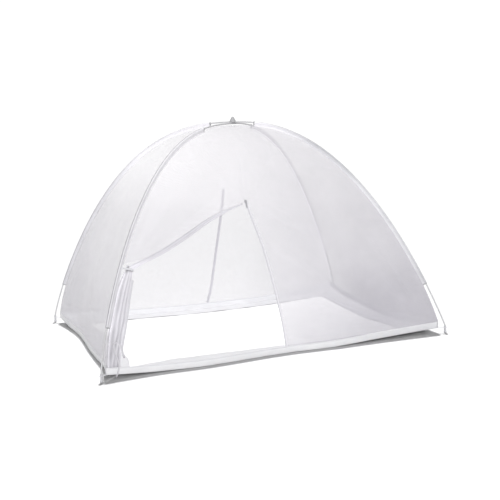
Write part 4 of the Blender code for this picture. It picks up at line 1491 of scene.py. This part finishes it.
@dataclass
class Border:
    """The closed cloth round the foot: a sill, and a strip that lies in on the floor."""

    form: CanopyForm
    thickness: float = 0.0010
    columns: int = 120
    mitre_gap: float = 0.0003
    sill_lean: float = 0.0016
    turn_in: float = 0.0011
    turn_up: float = 0.0018
    fold_in: float = 0.0040
    ripple: float = 0.004
    curl: float = 0.0030
    curl_from: float = 0.8
    fall_to: float = 0.85
    calm_ends: float = 1 / 12
    sill_shares: tuple[float, ...] = (1.0, 0.86, 0.7, 0.54, 0.38, 0.22, 0.11)
    strip_shares: tuple[float, ...] = (0.08, 0.18, 0.30, 0.42, 0.54, 0.66, 0.78, 0.88, 0.95, 1.0)
    made: dict[Side, Piece] = field(default_factory=dict)

    def inner_corner(self, corner: Corner) -> Vector:
        """The corner of the strip inside a corner of the base.

        Args:
            corner: The corner of the base.

        Returns:
            The point on the floor.
        """
        form, arch = self.form, HALF_ARCHES[corner]
        along = arch.x_side * (form.length / 2 - form.strip_at_corner)
        return Vector((along, arch.y_side * (form.width / 2 - form.strip_at_corner), 0))

    def section(self, wall: Wall, across: float) -> list[Vector]:
        """A cross-section, down the sill, round its foot and in along the floor.

        Args:
            wall: The side.
            across: The share of the way along it.

        Returns:
            The points.
        """
        form, inward, lie = self.form, -wall.outward, self.thickness / 2
        ground_in, lift, depth = smooth_lookup(GROUND_LINES[wall.side], across)
        lift = max(lift, 0.0)
        foot = form.net_point(wall, form.row_hem, across)
        foot.z = lift
        start, end = self.inner_corner(wall.start), self.inner_corner(wall.end)
        start += (end - start).normalized() * self.mitre_gap
        end -= (end - start).normalized() * self.mitre_gap
        edge = start.lerp(end, across) + inward * (ground_in + depth - form.strip_at_corner)
        mitred = Vector((edge.x - foot.x, edge.y - foot.y, 0))
        mitred /= mitred.dot(inward)
        reach = (edge - foot).dot(inward)
        place = across * form.length
        calm = min(min(across, 1 - across) / self.calm_ends, 1.0)
        points = []
        for share in self.sill_shares:
            lean = self.sill_lean * math.sin(math.pi * share) * uneven(place / 0.16, 0.4) * calm
            points.append(foot + UP * (form.sill_height * share) + inward * lean)
        points.append(foot + mitred * self.turn_in + UP * self.turn_up)
        points.append(foot + mitred * self.fold_in + UP * lie)
        for share in self.strip_shares:
            point = foot + mitred * (self.fold_in + (reach - self.fold_in) * share)
            fall = max(1 - share / self.fall_to, 0.0) ** 1.3
            ripple = self.ripple * math.sin(math.pi * share) * (0.5 + 0.5 * uneven(place / 0.21, 0.7))
            curl = max(share - self.curl_from, 0) / (1 - self.curl_from)
            curl *= self.curl * (0.5 + 0.5 * uneven(place / 0.33, 2.1))
            point.z = lie + lift * fall + (ripple + curl) * calm
            points.append(point)
        return points

    def build(self, material: Material) -> None:
        """Builds the four sides.

        Args:
            material: The border cloth's material.
        """
        for side, wall in WALLS.items():
            cloth = ClothBuilder("border_cloth_" + side.value)
            span, count = self.form.span(wall), self.columns
            lines = [self.section(wall, i / count) for i in range(count + 1)]
            ways = [(span * i / count, distances(line)) for i, line in enumerate(lines)]
            cloth.grid(lines, [[(along, up) for up in ups] for along, ups in ways])
            self.made[side] = cloth.make(self.thickness)
            dress(self.made[side], material, "border_" + side.value, shadow=True)
            log.info("border %s: %.2f square metres", side.value, flat_area(self.made[side]) / 2)


# ---- rods, sleeves and fittings ----------------------------------------------------------------


@dataclass
class Rods:
    """The two rods that carry the net."""

    form: CanopyForm
    radius: float = 0.00425
    cap_floor: float = 0.0043
    sides: int = 14
    steps: int = 90
    crowding: float = 1.15

    def half_line(self, arch: HalfArch) -> list[Vector]:
        """Points from a foot to the crossing, closer together at the foot.

        Args:
            arch: The half arch.

        Returns:
            The points.
        """
        form = self.form
        line = [form.outward_of(arch) * form.foot_reach + UP * self.cap_floor]
        shares = (i / self.steps for i in range(self.steps + 1))
        return line + [form.arch_point(arch, math.pi / 2 * s**self.crowding) for s in shares]

    def build_rod(self, name: str, start: Corner, end: Corner, material: Material) -> None:
        """Builds one rod from corner to corner.

        Args:
            name: The name of its solid.
            start: The corner where it starts.
            end: The corner where it ends.
            material: Its material.
        """
        line = self.half_line(HALF_ARCHES[start])
        line += self.half_line(HALF_ARCHES[end])[::-1][1:]
        side = UP.cross(self.form.outward_of(HALF_ARCHES[start]))
        turns = [2 * math.pi * k / self.sides for k in range(self.sides)]
        loops = []
        for i, point in enumerate(line):
            out = side.cross(run_at(line, i).normalized()).normalized()
            rims = (out * math.cos(turn) + side * math.sin(turn) for turn in turns)
            loops.append([point + rim * self.radius for rim in rims])
        places = distances(line)
        piece = tube("smooth_" + name, loops, places, [turn * self.radius for turn in turns])
        dress(piece, material, name)
        log.info("%s: %.2f metres", name, places[-1])

    def build(self, material: Material) -> None:
        """Builds both rods."""
        self.build_rod("pole_upper", Corner.BACK_LEFT, Corner.FRONT_RIGHT, material)
        self.build_rod("pole_lower", Corner.FRONT_LEFT, Corner.BACK_RIGHT, material)


@dataclass
class Sleeves:
    """The cloth sleeves that the rods run through."""

    form: CanopyForm
    bore: float = 0.0053
    radius: float = 0.0063
    wobble: float = 0.0007
    steps: int = 150
    web: tuple[tuple[float, float], ...] = (
        (0.0075, 0.0030), (0.0120, 0.0019), (0.0170, 0.0014), (0.022, 0.0011),
    )
    outer_angles: tuple[int, ...] = (-118, -90, -60, -30, 0, 30, 60, 90, 118)
    inner_angles: tuple[int, ...] = (132, 146, 160, 174, 186, 200, 214, 228)
    made: dict[Corner, Piece] = field(default_factory=dict)

    def loops(self, arch: HalfArch, row: float, along: float) -> tuple[list[Vector], list[Vector]]:
        """The outside and the inside of a cross-section.

        Args:
            arch: The half arch.
            row: The row of cloth.
            along: The distance along the sleeve, in metres.

        Returns:
            Two loops with the same number of points.
        """
        centre, away = self.form.arch_frame(arch, self.form.angle_at_row(arch, row))
        side = UP.cross(self.form.outward_of(arch))
        lean = self.wobble * uneven(along / 0.07, arch.rise * 5)
        leans = [lean, lean, 0.0, 0.0]

        def at(out: float, over: float) -> Vector:
            """A point of the cross-section."""
            return centre + away * out + side * over

        turns = [math.radians(angle) for angle in self.outer_angles]
        outer = []
        for k, turn in enumerate(turns):
            swell = 0.5 + 0.5 * uneven(along / 0.05 + k * 0.21, arch.rise * 9)
            reach = self.radius + self.wobble * swell
            outer.append(at(math.cos(turn) * reach, math.sin(turn) * reach))
        web = list(zip(self.web, leans))
        outer += [at(-down, half + shift) for (down, half), shift in web]
        outer += [at(-down, shift - half) for (down, half), shift in reversed(web)]
        turns += [math.radians(angle) for angle in self.inner_angles]
        return outer, [at(math.cos(t) * self.bore, math.sin(t) * self.bore) for t in turns]

    def build_one(self, corner: Corner, material: Material) -> None:
        """Builds one sleeve.

        Args:
            corner: The corner that it runs down to.
            material: The sleeve cloth.
        """
        form, arch = self.form, HALF_ARCHES[corner]
        span = form.row_sleeve_top - form.row_mouth
        rows = [form.row_mouth + span * i / self.steps for i in range(self.steps + 1)]
        places = distances([form.arch_point(arch, form.angle_at_row(arch, row)) for row in rows])
        from_end = [min(place, places[-1] - place) for place in places]
        body = SkinBuilder("sewn_sleeve_" + corner.value)
        pairs = [body.rings(self.loops(arch, row, place)) for row, place in zip(rows, places)]
        outer, inner = zip(*pairs)
        count = len(outer[0])
        outline = [(outer[0][i].co - outer[0][i - 1].co).length for i in range(count)]
        round_it = [sum(outline[1 : i + 1]) for i in range(count)] + [sum(outline)]
        for rings in (outer, inner):
            body.join(rings, lambda step, ring: (from_end[ring], round_it[step]))
        for pair in (pairs[0], pairs[-1]):
            body.join(pair)
        self.made[corner] = body.make(sharp=60)
        dress(self.made[corner], material, "sleeve_" + corner.value)
        log.info("sleeve %s: %.2f metres", corner.value, places[-1])

    def build(self, material: Material) -> None:
        """Builds the four sleeves."""
        for corner in Corner:
            self.build_one(corner, material)


@dataclass
class DoorLeaf:
    """The open door leaf, gathered along its upper line, tied and hanging."""

    form: CanopyForm
    folds: int = 17
    wide_folds: float = 3.0
    crumple: float = 0.032
    crumple_from: int = 66
    crumple_over: int = 22
    steps_per_fold: int = 8
    thickness: float = 0.0006
    stand: float = 0.0007
    inset: float = 0.027
    end_share: float = 0.22
    turn_height: float = 0.07
    swag_parts: int = 42
    bridge_parts: int = 6
    hanging_parts: int = 6
    tape_width: float = 0.009
    tape_thickness: float = 0.0012
    tape_top: float = 0.500
    tape_foot: float = 0.150
    tape_parts: int = 6
    lead_side: float = -0.0020
    lead_deep: float = 0.0068
    lead_top: float = 0.545
    lead_grows: float = 0.060
    lead_parts: int = 6
    sleeve_depth: float = 0.022
    sleeve_half: float = 0.0012
    tie_width: float = 0.010
    tie_slack: float = 0.0036
    tie_start: float = 62.0
    tie_sweep: float = 305.0
    tie_steps: int = 36

    def swag_stations(self) -> list[Station]:
        """Places along the upper part.

        Returns:
            The stations, from the slider's end towards the tie.
        """
        form, wall, count = self.form, WALLS[Side.FRONT], self.swag_parts
        first, last = 1 - self.end_share / 7, 1 / 7
        shares = [first + (last - first) * i / count for i in range(count + 1)]
        held = []
        for share in shares:
            row = form.swag_row(share)
            held.append(form.net_point(wall, row, form.middle_line(wall, row) * share))
        found = []
        for i, share in enumerate(shares):
            across = run_at(held, i).normalized().cross(-wall.outward).normalized()
            if across.z > 0:
                across.negate()
            place = held[i] + across * self.stand
            width, depth = smooth_lookup(LEAF_GATHERED, share)
            found.append(Station(place, across, width, depth, Vector((0, 0))))
        return found

    def bridge(self, low: Station, high: Station) -> list[Station]:
        """Places between the upper part's end and the neck at the tie.

        Args:
            low: The upper part's last place.
            high: The neck.

        Returns:
            The places.
        """
        found = []
        for share in (i / self.bridge_parts for i in range(1, self.bridge_parts)):
            eased = share * share * (3 - 2 * share)
            across = low.across.lerp(high.across, eased).normalized()
            width = low.width + (high.width - low.width) * eased
            depth = low.depth + (high.depth - low.depth) * eased
            place = low.held.lerp(high.held, share)
            found.append(Station(place, across, width, depth, high.lead * eased))
        return found

    def hanging_station(self, size: Hanging) -> Station:
        """A place on the hanging part.

        Args:
            size: Its level, and its size there.

        Returns:
            The place.
        """
        form, wall, arch = self.form, WALLS[Side.FRONT], HALF_ARCHES[Corner.FRONT_LEFT]
        seam = form.seam_point(arch, wall, form.row_at_height(arch, size.height + form.seam_drop))
        held = Vector((seam.x + size.off, seam.y + self.inset, size.height))
        turn = min(max((form.tie_height - size.height) / self.turn_height, 0.0), 1.0) * math.pi / 2
        across = Vector((math.sin(turn) + 0.3 * math.cos(turn), 0, -math.cos(turn))).normalized()
        share = min(max((self.lead_top - size.height) / self.lead_grows, 0.0), 1.0)
        lead = Vector((self.lead_side - size.off, self.lead_deep - self.inset)) * share
        return Station(held, across, size.width, size.depth, lead)

    def hanging_stations(self) -> list[Station]:
        """Places down the hanging part.

        Returns:
            The stations, from the tie to the hem.
        """
        table = [(-row.height, *row[1:]) for row in LEAF_HANGING]
        found, parts = [], self.hanging_parts
        for high, low in zip(LEAF_HANGING, LEAF_HANGING[1:]):
            for i in range(parts):
                height = high.height + (low.height - high.height) * i / parts
                found.append(self.hanging_station(Hanging(height, *smooth_lookup(table, -height))))
        return found + [self.hanging_station(LEAF_HANGING[-1])]

    def section(self, k: int, width: float, depth: float) -> list[tuple[float, float, float]]:
        """The back-and-forth section of the gathered cloth: small folds that ride on wide ones.

        Args:
            k: The number of the section.
            width: How wide it spreads.
            depth: How deep its folds are.

        Returns:
            Points across and deep, and a painted shade tone for each, lower in the hollows of the
            wide folds.
        """
        points, drift = [], 0.060 * k
        steps = self.folds * self.steps_per_fold
        crumple = self.crumple * min(max((k - self.crumple_from) / self.crumple_over, 0.0), 1.0)
        for share in (i / steps for i in range(steps + 1)):
            ends = min(1.0, 7 * min(share, 1 - share))
            spread = share + 0.035 * math.sin(5.1 * share + drift) * ends
            spread += crumple * math.sin(0.37 * k + 8.0 * share) * math.sin(0.11 * k + 2.0) * ends
            small = math.sin(2 * math.pi * self.folds * share + 0.25 * math.sin(drift + share * 9))
            small *= 0.80 + 0.20 * math.sin(7.3 * share + drift * 1.6)
            turn = self.wide_folds * share**1.25 + 0.22 * math.sin(drift * 0.9 + share * 4)
            wide = math.sin(2 * math.pi * turn - 0.8)
            deep = depth * ends * (0.34 * small + 0.16 * wide)
            # Painted shade for the fold attribute: darker in the hollows of the wide folds, towards
            # the free edge and in the crumples.
            tone = 0.5 - 0.34 * wide - 0.16 * share
            tone += 8 * crumple * math.sin(0.41 * k + 10.0 * share) * math.sin(0.13 * k + 4 * share)
            points.append((width * spread, deep, tone))
        return points

    def lead_in(self, k: int, lead: Vector) -> list[tuple[float, float, float]]:
        """The flat cloth from the side seam to the first fold.

        Args:
            k: The number of the section.
            lead: Where the seam is, from the first fold.

        Returns:
            Points as in a section, without the last.
        """
        points = []
        for left in (1 - i / self.lead_parts for i in range(self.lead_parts)):
            slack = 0.06 * math.sin(math.pi * left) * math.sin(0.31 * k)
            # The flat cloth's painted shade tone, lighter than the folds.
            out = 0.75 + 0.25 * math.sin(0.9 * k) * math.sin(0.23 * k)
            points.append((lead.x * (left + slack), lead.y * (left - slack), out))
        return points

    def build_leaf(self, material: Material) -> Piece:
        """Builds the gathered cloth.

        Args:
            material: The gathered net.

        Returns:
            The piece.
        """
        inward = -WALLS[Side.FRONT].outward
        swag, hanging = self.swag_stations(), self.hanging_stations()
        stations = swag + self.bridge(swag[-1], hanging[0]) + hanging
        lengths = distances([station.held for station in stations])
        lines, places = [], []
        for k, (station, length) in enumerate(zip(stations, lengths)):
            section = self.lead_in(k, station.lead) + self.section(k, station.width, station.depth)
            lines.append([station.held + station.across * a + inward * d for a, d, _ in section])
            round_it, row = 0.0, [(length, 0.0, section[0][2])]
            for before, here in zip(section, section[1:]):
                round_it += math.hypot(here[0] - before[0], here[1] - before[1])
                row.append((length, round_it, here[2]))
            places.append(row)
        cloth = ClothBuilder("gathered_leaf")
        cloth.grid(lines, places)
        piece = cloth.make(self.thickness)
        dress(piece, material, "door_flap")
        log.info("door leaf: %.2f square metres", flat_area(piece) / 2)
        return piece

    def build_tape(self, material: Material) -> Piece:
        """Builds the tape down the free edge, with its loose end.

        Args:
            material: The tape's material.

        Returns:
            The piece.
        """
        line = []
        for size in LEAF_HANGING:
            if self.tape_foot <= size.height <= self.tape_top:
                place = self.hanging_station(size)
                reach = place.width + self.tape_width / 2 + self.stand
                line.append(place.held + place.across * reach)
        line = smooth_line(line + [Vector(point) for point in LEAF_TAPE_TAIL], self.tape_parts)
        outs = carried(line, WALLS[Side.FRONT].outward)
        piece = ribbon("loose_tape", line, outs, self.tape_width, self.tape_thickness)
        dress(piece, material, "zip_flap")
        return piece

    def build_tie(self, material: Material) -> Piece:
        """Builds the tape that holds the neck to the seam.

        Args:
            material: The tape's material.

        Returns:
            The piece.
        """
        form, wall, arch = self.form, WALLS[Side.FRONT], HALF_ARCHES[Corner.FRONT_LEFT]
        held, across, width, depth, _ = self.hanging_station(LEAF_HANGING[0])
        inward, centre = -wall.outward, held + across * width / 2
        radius_across, radius_in = width * 0.62 + self.tie_slack, depth * 0.80 + self.tie_slack
        angle = form.angle_at_height(arch, centre.z + form.seam_drop)
        seam, away = form.arch_frame(arch, angle)
        seam = seam - away * (self.sleeve_depth - self.tie_width / 2)
        beside = self.sleeve_half + self.tape_thickness / 2 + self.stand
        seam += form.side_of(arch, wall) * beside
        come_from = math.atan2((seam - centre).dot(inward), (seam - centre).dot(across))
        line, outs = [seam], [form.side_of(arch, wall)]
        for i in range(self.tie_steps + 1):
            turn = come_from + math.radians(self.tie_start + self.tie_sweep * i / self.tie_steps)
            out = across * math.cos(turn) * radius_across + inward * math.sin(turn) * radius_in
            line.append(centre + out)
            outs.append(out.normalized())
        line.insert(1, line[0].lerp(line[1], 0.5))
        outs.insert(1, outs[0].lerp(outs[1], 0.5).normalized())
        piece = ribbon("neck_tie", line, outs, self.tie_width, self.tape_thickness)
        dress(piece, material, "tie_back", shadow=True)
        return piece


@dataclass
class Zips:
    """The zip down the door's closed side and the closed zip in the back."""

    form: CanopyForm
    width: float = 0.011
    back_width: float = 0.018
    chain: float = 0.004
    thickness: float = 0.0012
    stand: float = 0.0009
    net_half: float = 0.001
    beside: float = 0.0006
    parts: int = 60

    def line(self, wall: Wall, shift: float) -> tuple[list[Vector], list[Vector]]:
        """A line just outside the net, along a wall's middle line.

        Args:
            wall: The wall.
            shift: How far the line lies to the side.

        Returns:
            Its points, and the way that the net looks at each.
        """
        form, side = self.form, UP.cross(wall.outward)
        points, outs = [], []
        for row in (form.row_slider * i / self.parts for i in range(self.parts + 1)):
            across = form.middle_line(wall, row)
            outs.append(form.outward_face(wall, row, across))
            reach = self.net_half + self.thickness / 2 + self.stand
            points.append(form.net_point(wall, row, across) + outs[-1] * reach + side * shift)
        return points, outs

    def build(self, front: Material, back: Material) -> None:
        """Builds both zips' tapes.

        Args:
            front: The door zip's material.
            back: The back zip's material.
        """
        line = self.line(WALLS[Side.FRONT], self.width / 2 + self.beside)
        piece = ribbon("door_zip", *line, self.width, self.thickness)
        dress(piece, front, "zip_front")
        line = self.line(WALLS[Side.BACK], 0.0)
        piece = ribbon("back_zip", *line, self.back_width, self.thickness, self.chain)
        dress(piece, back, "zip_back")


@dataclass
class Fittings:
    """The moulded and sewn small parts, whose solids are right as they are."""

    nodes: dict[str, list[str]] = field(default_factory=lambda: {
        "cap": ["foot_cap_" + corner.value for corner in Corner],
        "strap": ["strap_" + corner.value for corner in Corner],
        "clip": ["crown_clip"],
        "slider": ["slider_front", "slider_back"],
    })

    def build(self, materials: dict[str, Material]) -> None:
        """Paints the caps, the straps, the clip and the sliders.

        Args:
            materials: Their materials, by name.
        """
        for key, names in self.nodes.items():
            for name in names:
                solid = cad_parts[name]
                solid = bpy.data.objects[solid] if isinstance(solid, str) else solid
                for slot in solid.material_slots:
                    slot.material = materials[key]
                if not solid.material_slots:
                    solid.data.materials.append(materials[key])


# ---- the studio --------------------------------------------------------------------------------


class Lights(Enum):
    """What a sun lights."""

    FLOOR = "floor"
    CANOPY = "canopy"


class Sun(NamedTuple):
    """A soft sun: its strength, and its height, side and width in degrees."""

    name: str
    strength: float
    elevation: float
    azimuth: float
    softness: float
    lights: Lights


@dataclass
class Studio:
    """A pale floor, soft light and the camera."""

    eye: tuple[float, float, float] = (-1.872, -5.013, 1.362)
    azimuth: float = -21.33
    elevation: float = 9.26
    roll: float = -1.873
    lens: float = 62.604
    floor_size: float = 60.0
    floor_drop: float = 0.0005
    floor_colour: tuple[float, ...] = (0.90, 0.90, 0.90, 1.0)
    floor: Optional[Piece] = None
    backdrop: float = 1.06
    sky: float = 0.18
    suns: tuple[Sun, ...] = (
        Sun("floor_sun", 4.4, 41.0, 158.0, 10.0, Lights.FLOOR),
        Sun("floor_fill", 0.5, 25.0, -21.0, 30.0, Lights.FLOOR),
        Sun("front_sun", 3.0, 34.0, -20.0, 40.0, Lights.CANOPY),
        Sun("top_sun", 1.4, 60.0, 145.0, 40.0, Lights.CANOPY),
    )

    def build_floor(self) -> None:
        """Lays the floor."""
        half, mesh = self.floor_size / 2, bpy.data.meshes.new("pale_floor")
        corners = [(x, y, -self.floor_drop) for y in (-half, half) for x in (-half, half)]
        mesh.from_pydata(corners, [], [(0, 1, 3, 2)])
        self.floor = placed("pale_floor", mesh)
        wiring = Wiring(bpy.data.materials.new("pale floor"))
        mesh.materials.append(wiring.dress(self.floor_colour, 1.0, {"Specular IOR Level": 0.0}))

    def build_sky(self) -> None:
        """Sets a dim even sky, which the camera sees as a bright backdrop."""
        wiring = Wiring(bpy.data.worlds.new("studio"))
        bpy.context.scene.world = wiring.owner
        sky = wiring.tree.nodes["Background"]
        wiring.plug(sky, {"Color": WHITE, "Strength": self.sky})
        links = {"Color": WHITE, "Strength": self.backdrop}
        seen = wiring.node("ShaderNodeBackground", None, links)
        path = wiring.node("ShaderNodeLightPath", None, None, "Is Camera Ray")
        links = {0: path, 1: Wire(wiring, sky.outputs[0]), 2: seen}
        mixed = wiring.node("ShaderNodeMixShader", None, links)
        wiring.plug(wiring.tree.nodes["World Output"], {"Surface": mixed})

    def build_sun(self, sun: Sun) -> None:
        """Hangs a soft sun that lights the floor alone, or all but the floor.

        Args:
            sun: The sun.
        """
        light = bpy.data.lights.new(sun.name, "SUN")
        light.energy = sun.strength
        light.angle = math.radians(sun.softness)
        lamp = placed(sun.name, light)
        lamp.rotation_euler = (math.radians(90 - sun.elevation), 0, math.radians(sun.azimuth))
        lit = bpy.data.collections.new("lit_by_" + sun.name)
        lit.objects.link(self.floor)
        state = "INCLUDE" if sun.lights is Lights.FLOOR else "EXCLUDE"
        lit.collection_objects[0].light_linking.link_state = state
        lamp.light_linking.receiver_collection = lit

    def build_camera(self) -> None:
        """Sets the camera."""
        turn, rise, roll = (math.radians(a) for a in (self.azimuth, self.elevation, self.roll))
        away = math.cos(rise)
        back = Vector((math.sin(turn) * away, -math.cos(turn) * away, math.sin(rise)))
        right = Vector((math.cos(turn), math.sin(turn), 0))
        up = back.cross(right)
        rolled_right = right * math.cos(roll) + up * math.sin(roll)
        rolled_up = up * math.cos(roll) - right * math.sin(roll)
        lens = bpy.data.cameras.new("camera")
        lens.lens = self.lens
        lens.sensor_width = 36.0
        lens.clip_end = 200.0
        camera = placed("camera", lens)
        place = Matrix((rolled_right, rolled_up, back)).transposed().to_4x4()
        camera.matrix_world = Matrix.Translation(Vector(self.eye)) @ place
        bpy.context.scene.camera = camera

    def build(self) -> None:
        """Sets up the studio."""
        self.build_floor()
        self.build_sky()
        for sun in self.suns:
            self.build_sun(sun)
        self.build_camera()
        bpy.context.scene.view_settings.view_transform = "Standard"


# ---- putting it together -----------------------------------------------------------------------


@dataclass
class Canopy:
    """The whole canopy, piece by piece, and the sizes that its cloth was cut to, in metres."""

    form: CanopyForm = field(default_factory=CanopyForm)
    net_cuts: dict[Side, tuple[float, float, float]] = field(default_factory=lambda: {
        Side.FRONT: (2.02, 1.50, 1.36),
        Side.BACK: (2.02, 1.50, 1.90),
        Side.LEFT: (1.42, 1.68, 1.51),
        Side.RIGHT: (1.42, 1.68, 1.42),
    })
    border_depths: dict[Side, float] = field(default_factory=lambda: {
        Side.FRONT: 0.21, Side.BACK: 0.175, Side.LEFT: 0.195, Side.RIGHT: 0.19,
    })

    def build(self) -> None:
        """Builds every sub-assembly."""
        looks = {key: finish.make() for key, finish in FINISHES.items()}
        walls, border = NetWalls(self.form), Border(self.form)
        sleeves, leaf = Sleeves(self.form), DoorLeaf(self.form)
        walls.build(looks["net"])
        border.build(looks["border"])
        Rods(self.form).build(looks["rod"])
        sleeves.build(looks["sleeve"])
        gathered_leaf = leaf.build_leaf(looks["gathered"])
        on_leaf = [leaf.build_tape(looks["loose_tape"]), leaf.build_tie(looks["tie"])]
        Zips(self.form).build(looks["door_zip"], looks["back_zip"])
        Fittings().build(looks)
        for side, piece in border.made.items():
            flat = (self.form.span(WALLS[side]), self.border_depths[side])


def main() -> None:
    """Builds the studio and the canopy."""
    logging.basicConfig(level=logging.INFO, format="%(message)s")
    Studio().build()
    Canopy().build()


if __name__ == "__main__":
    main()
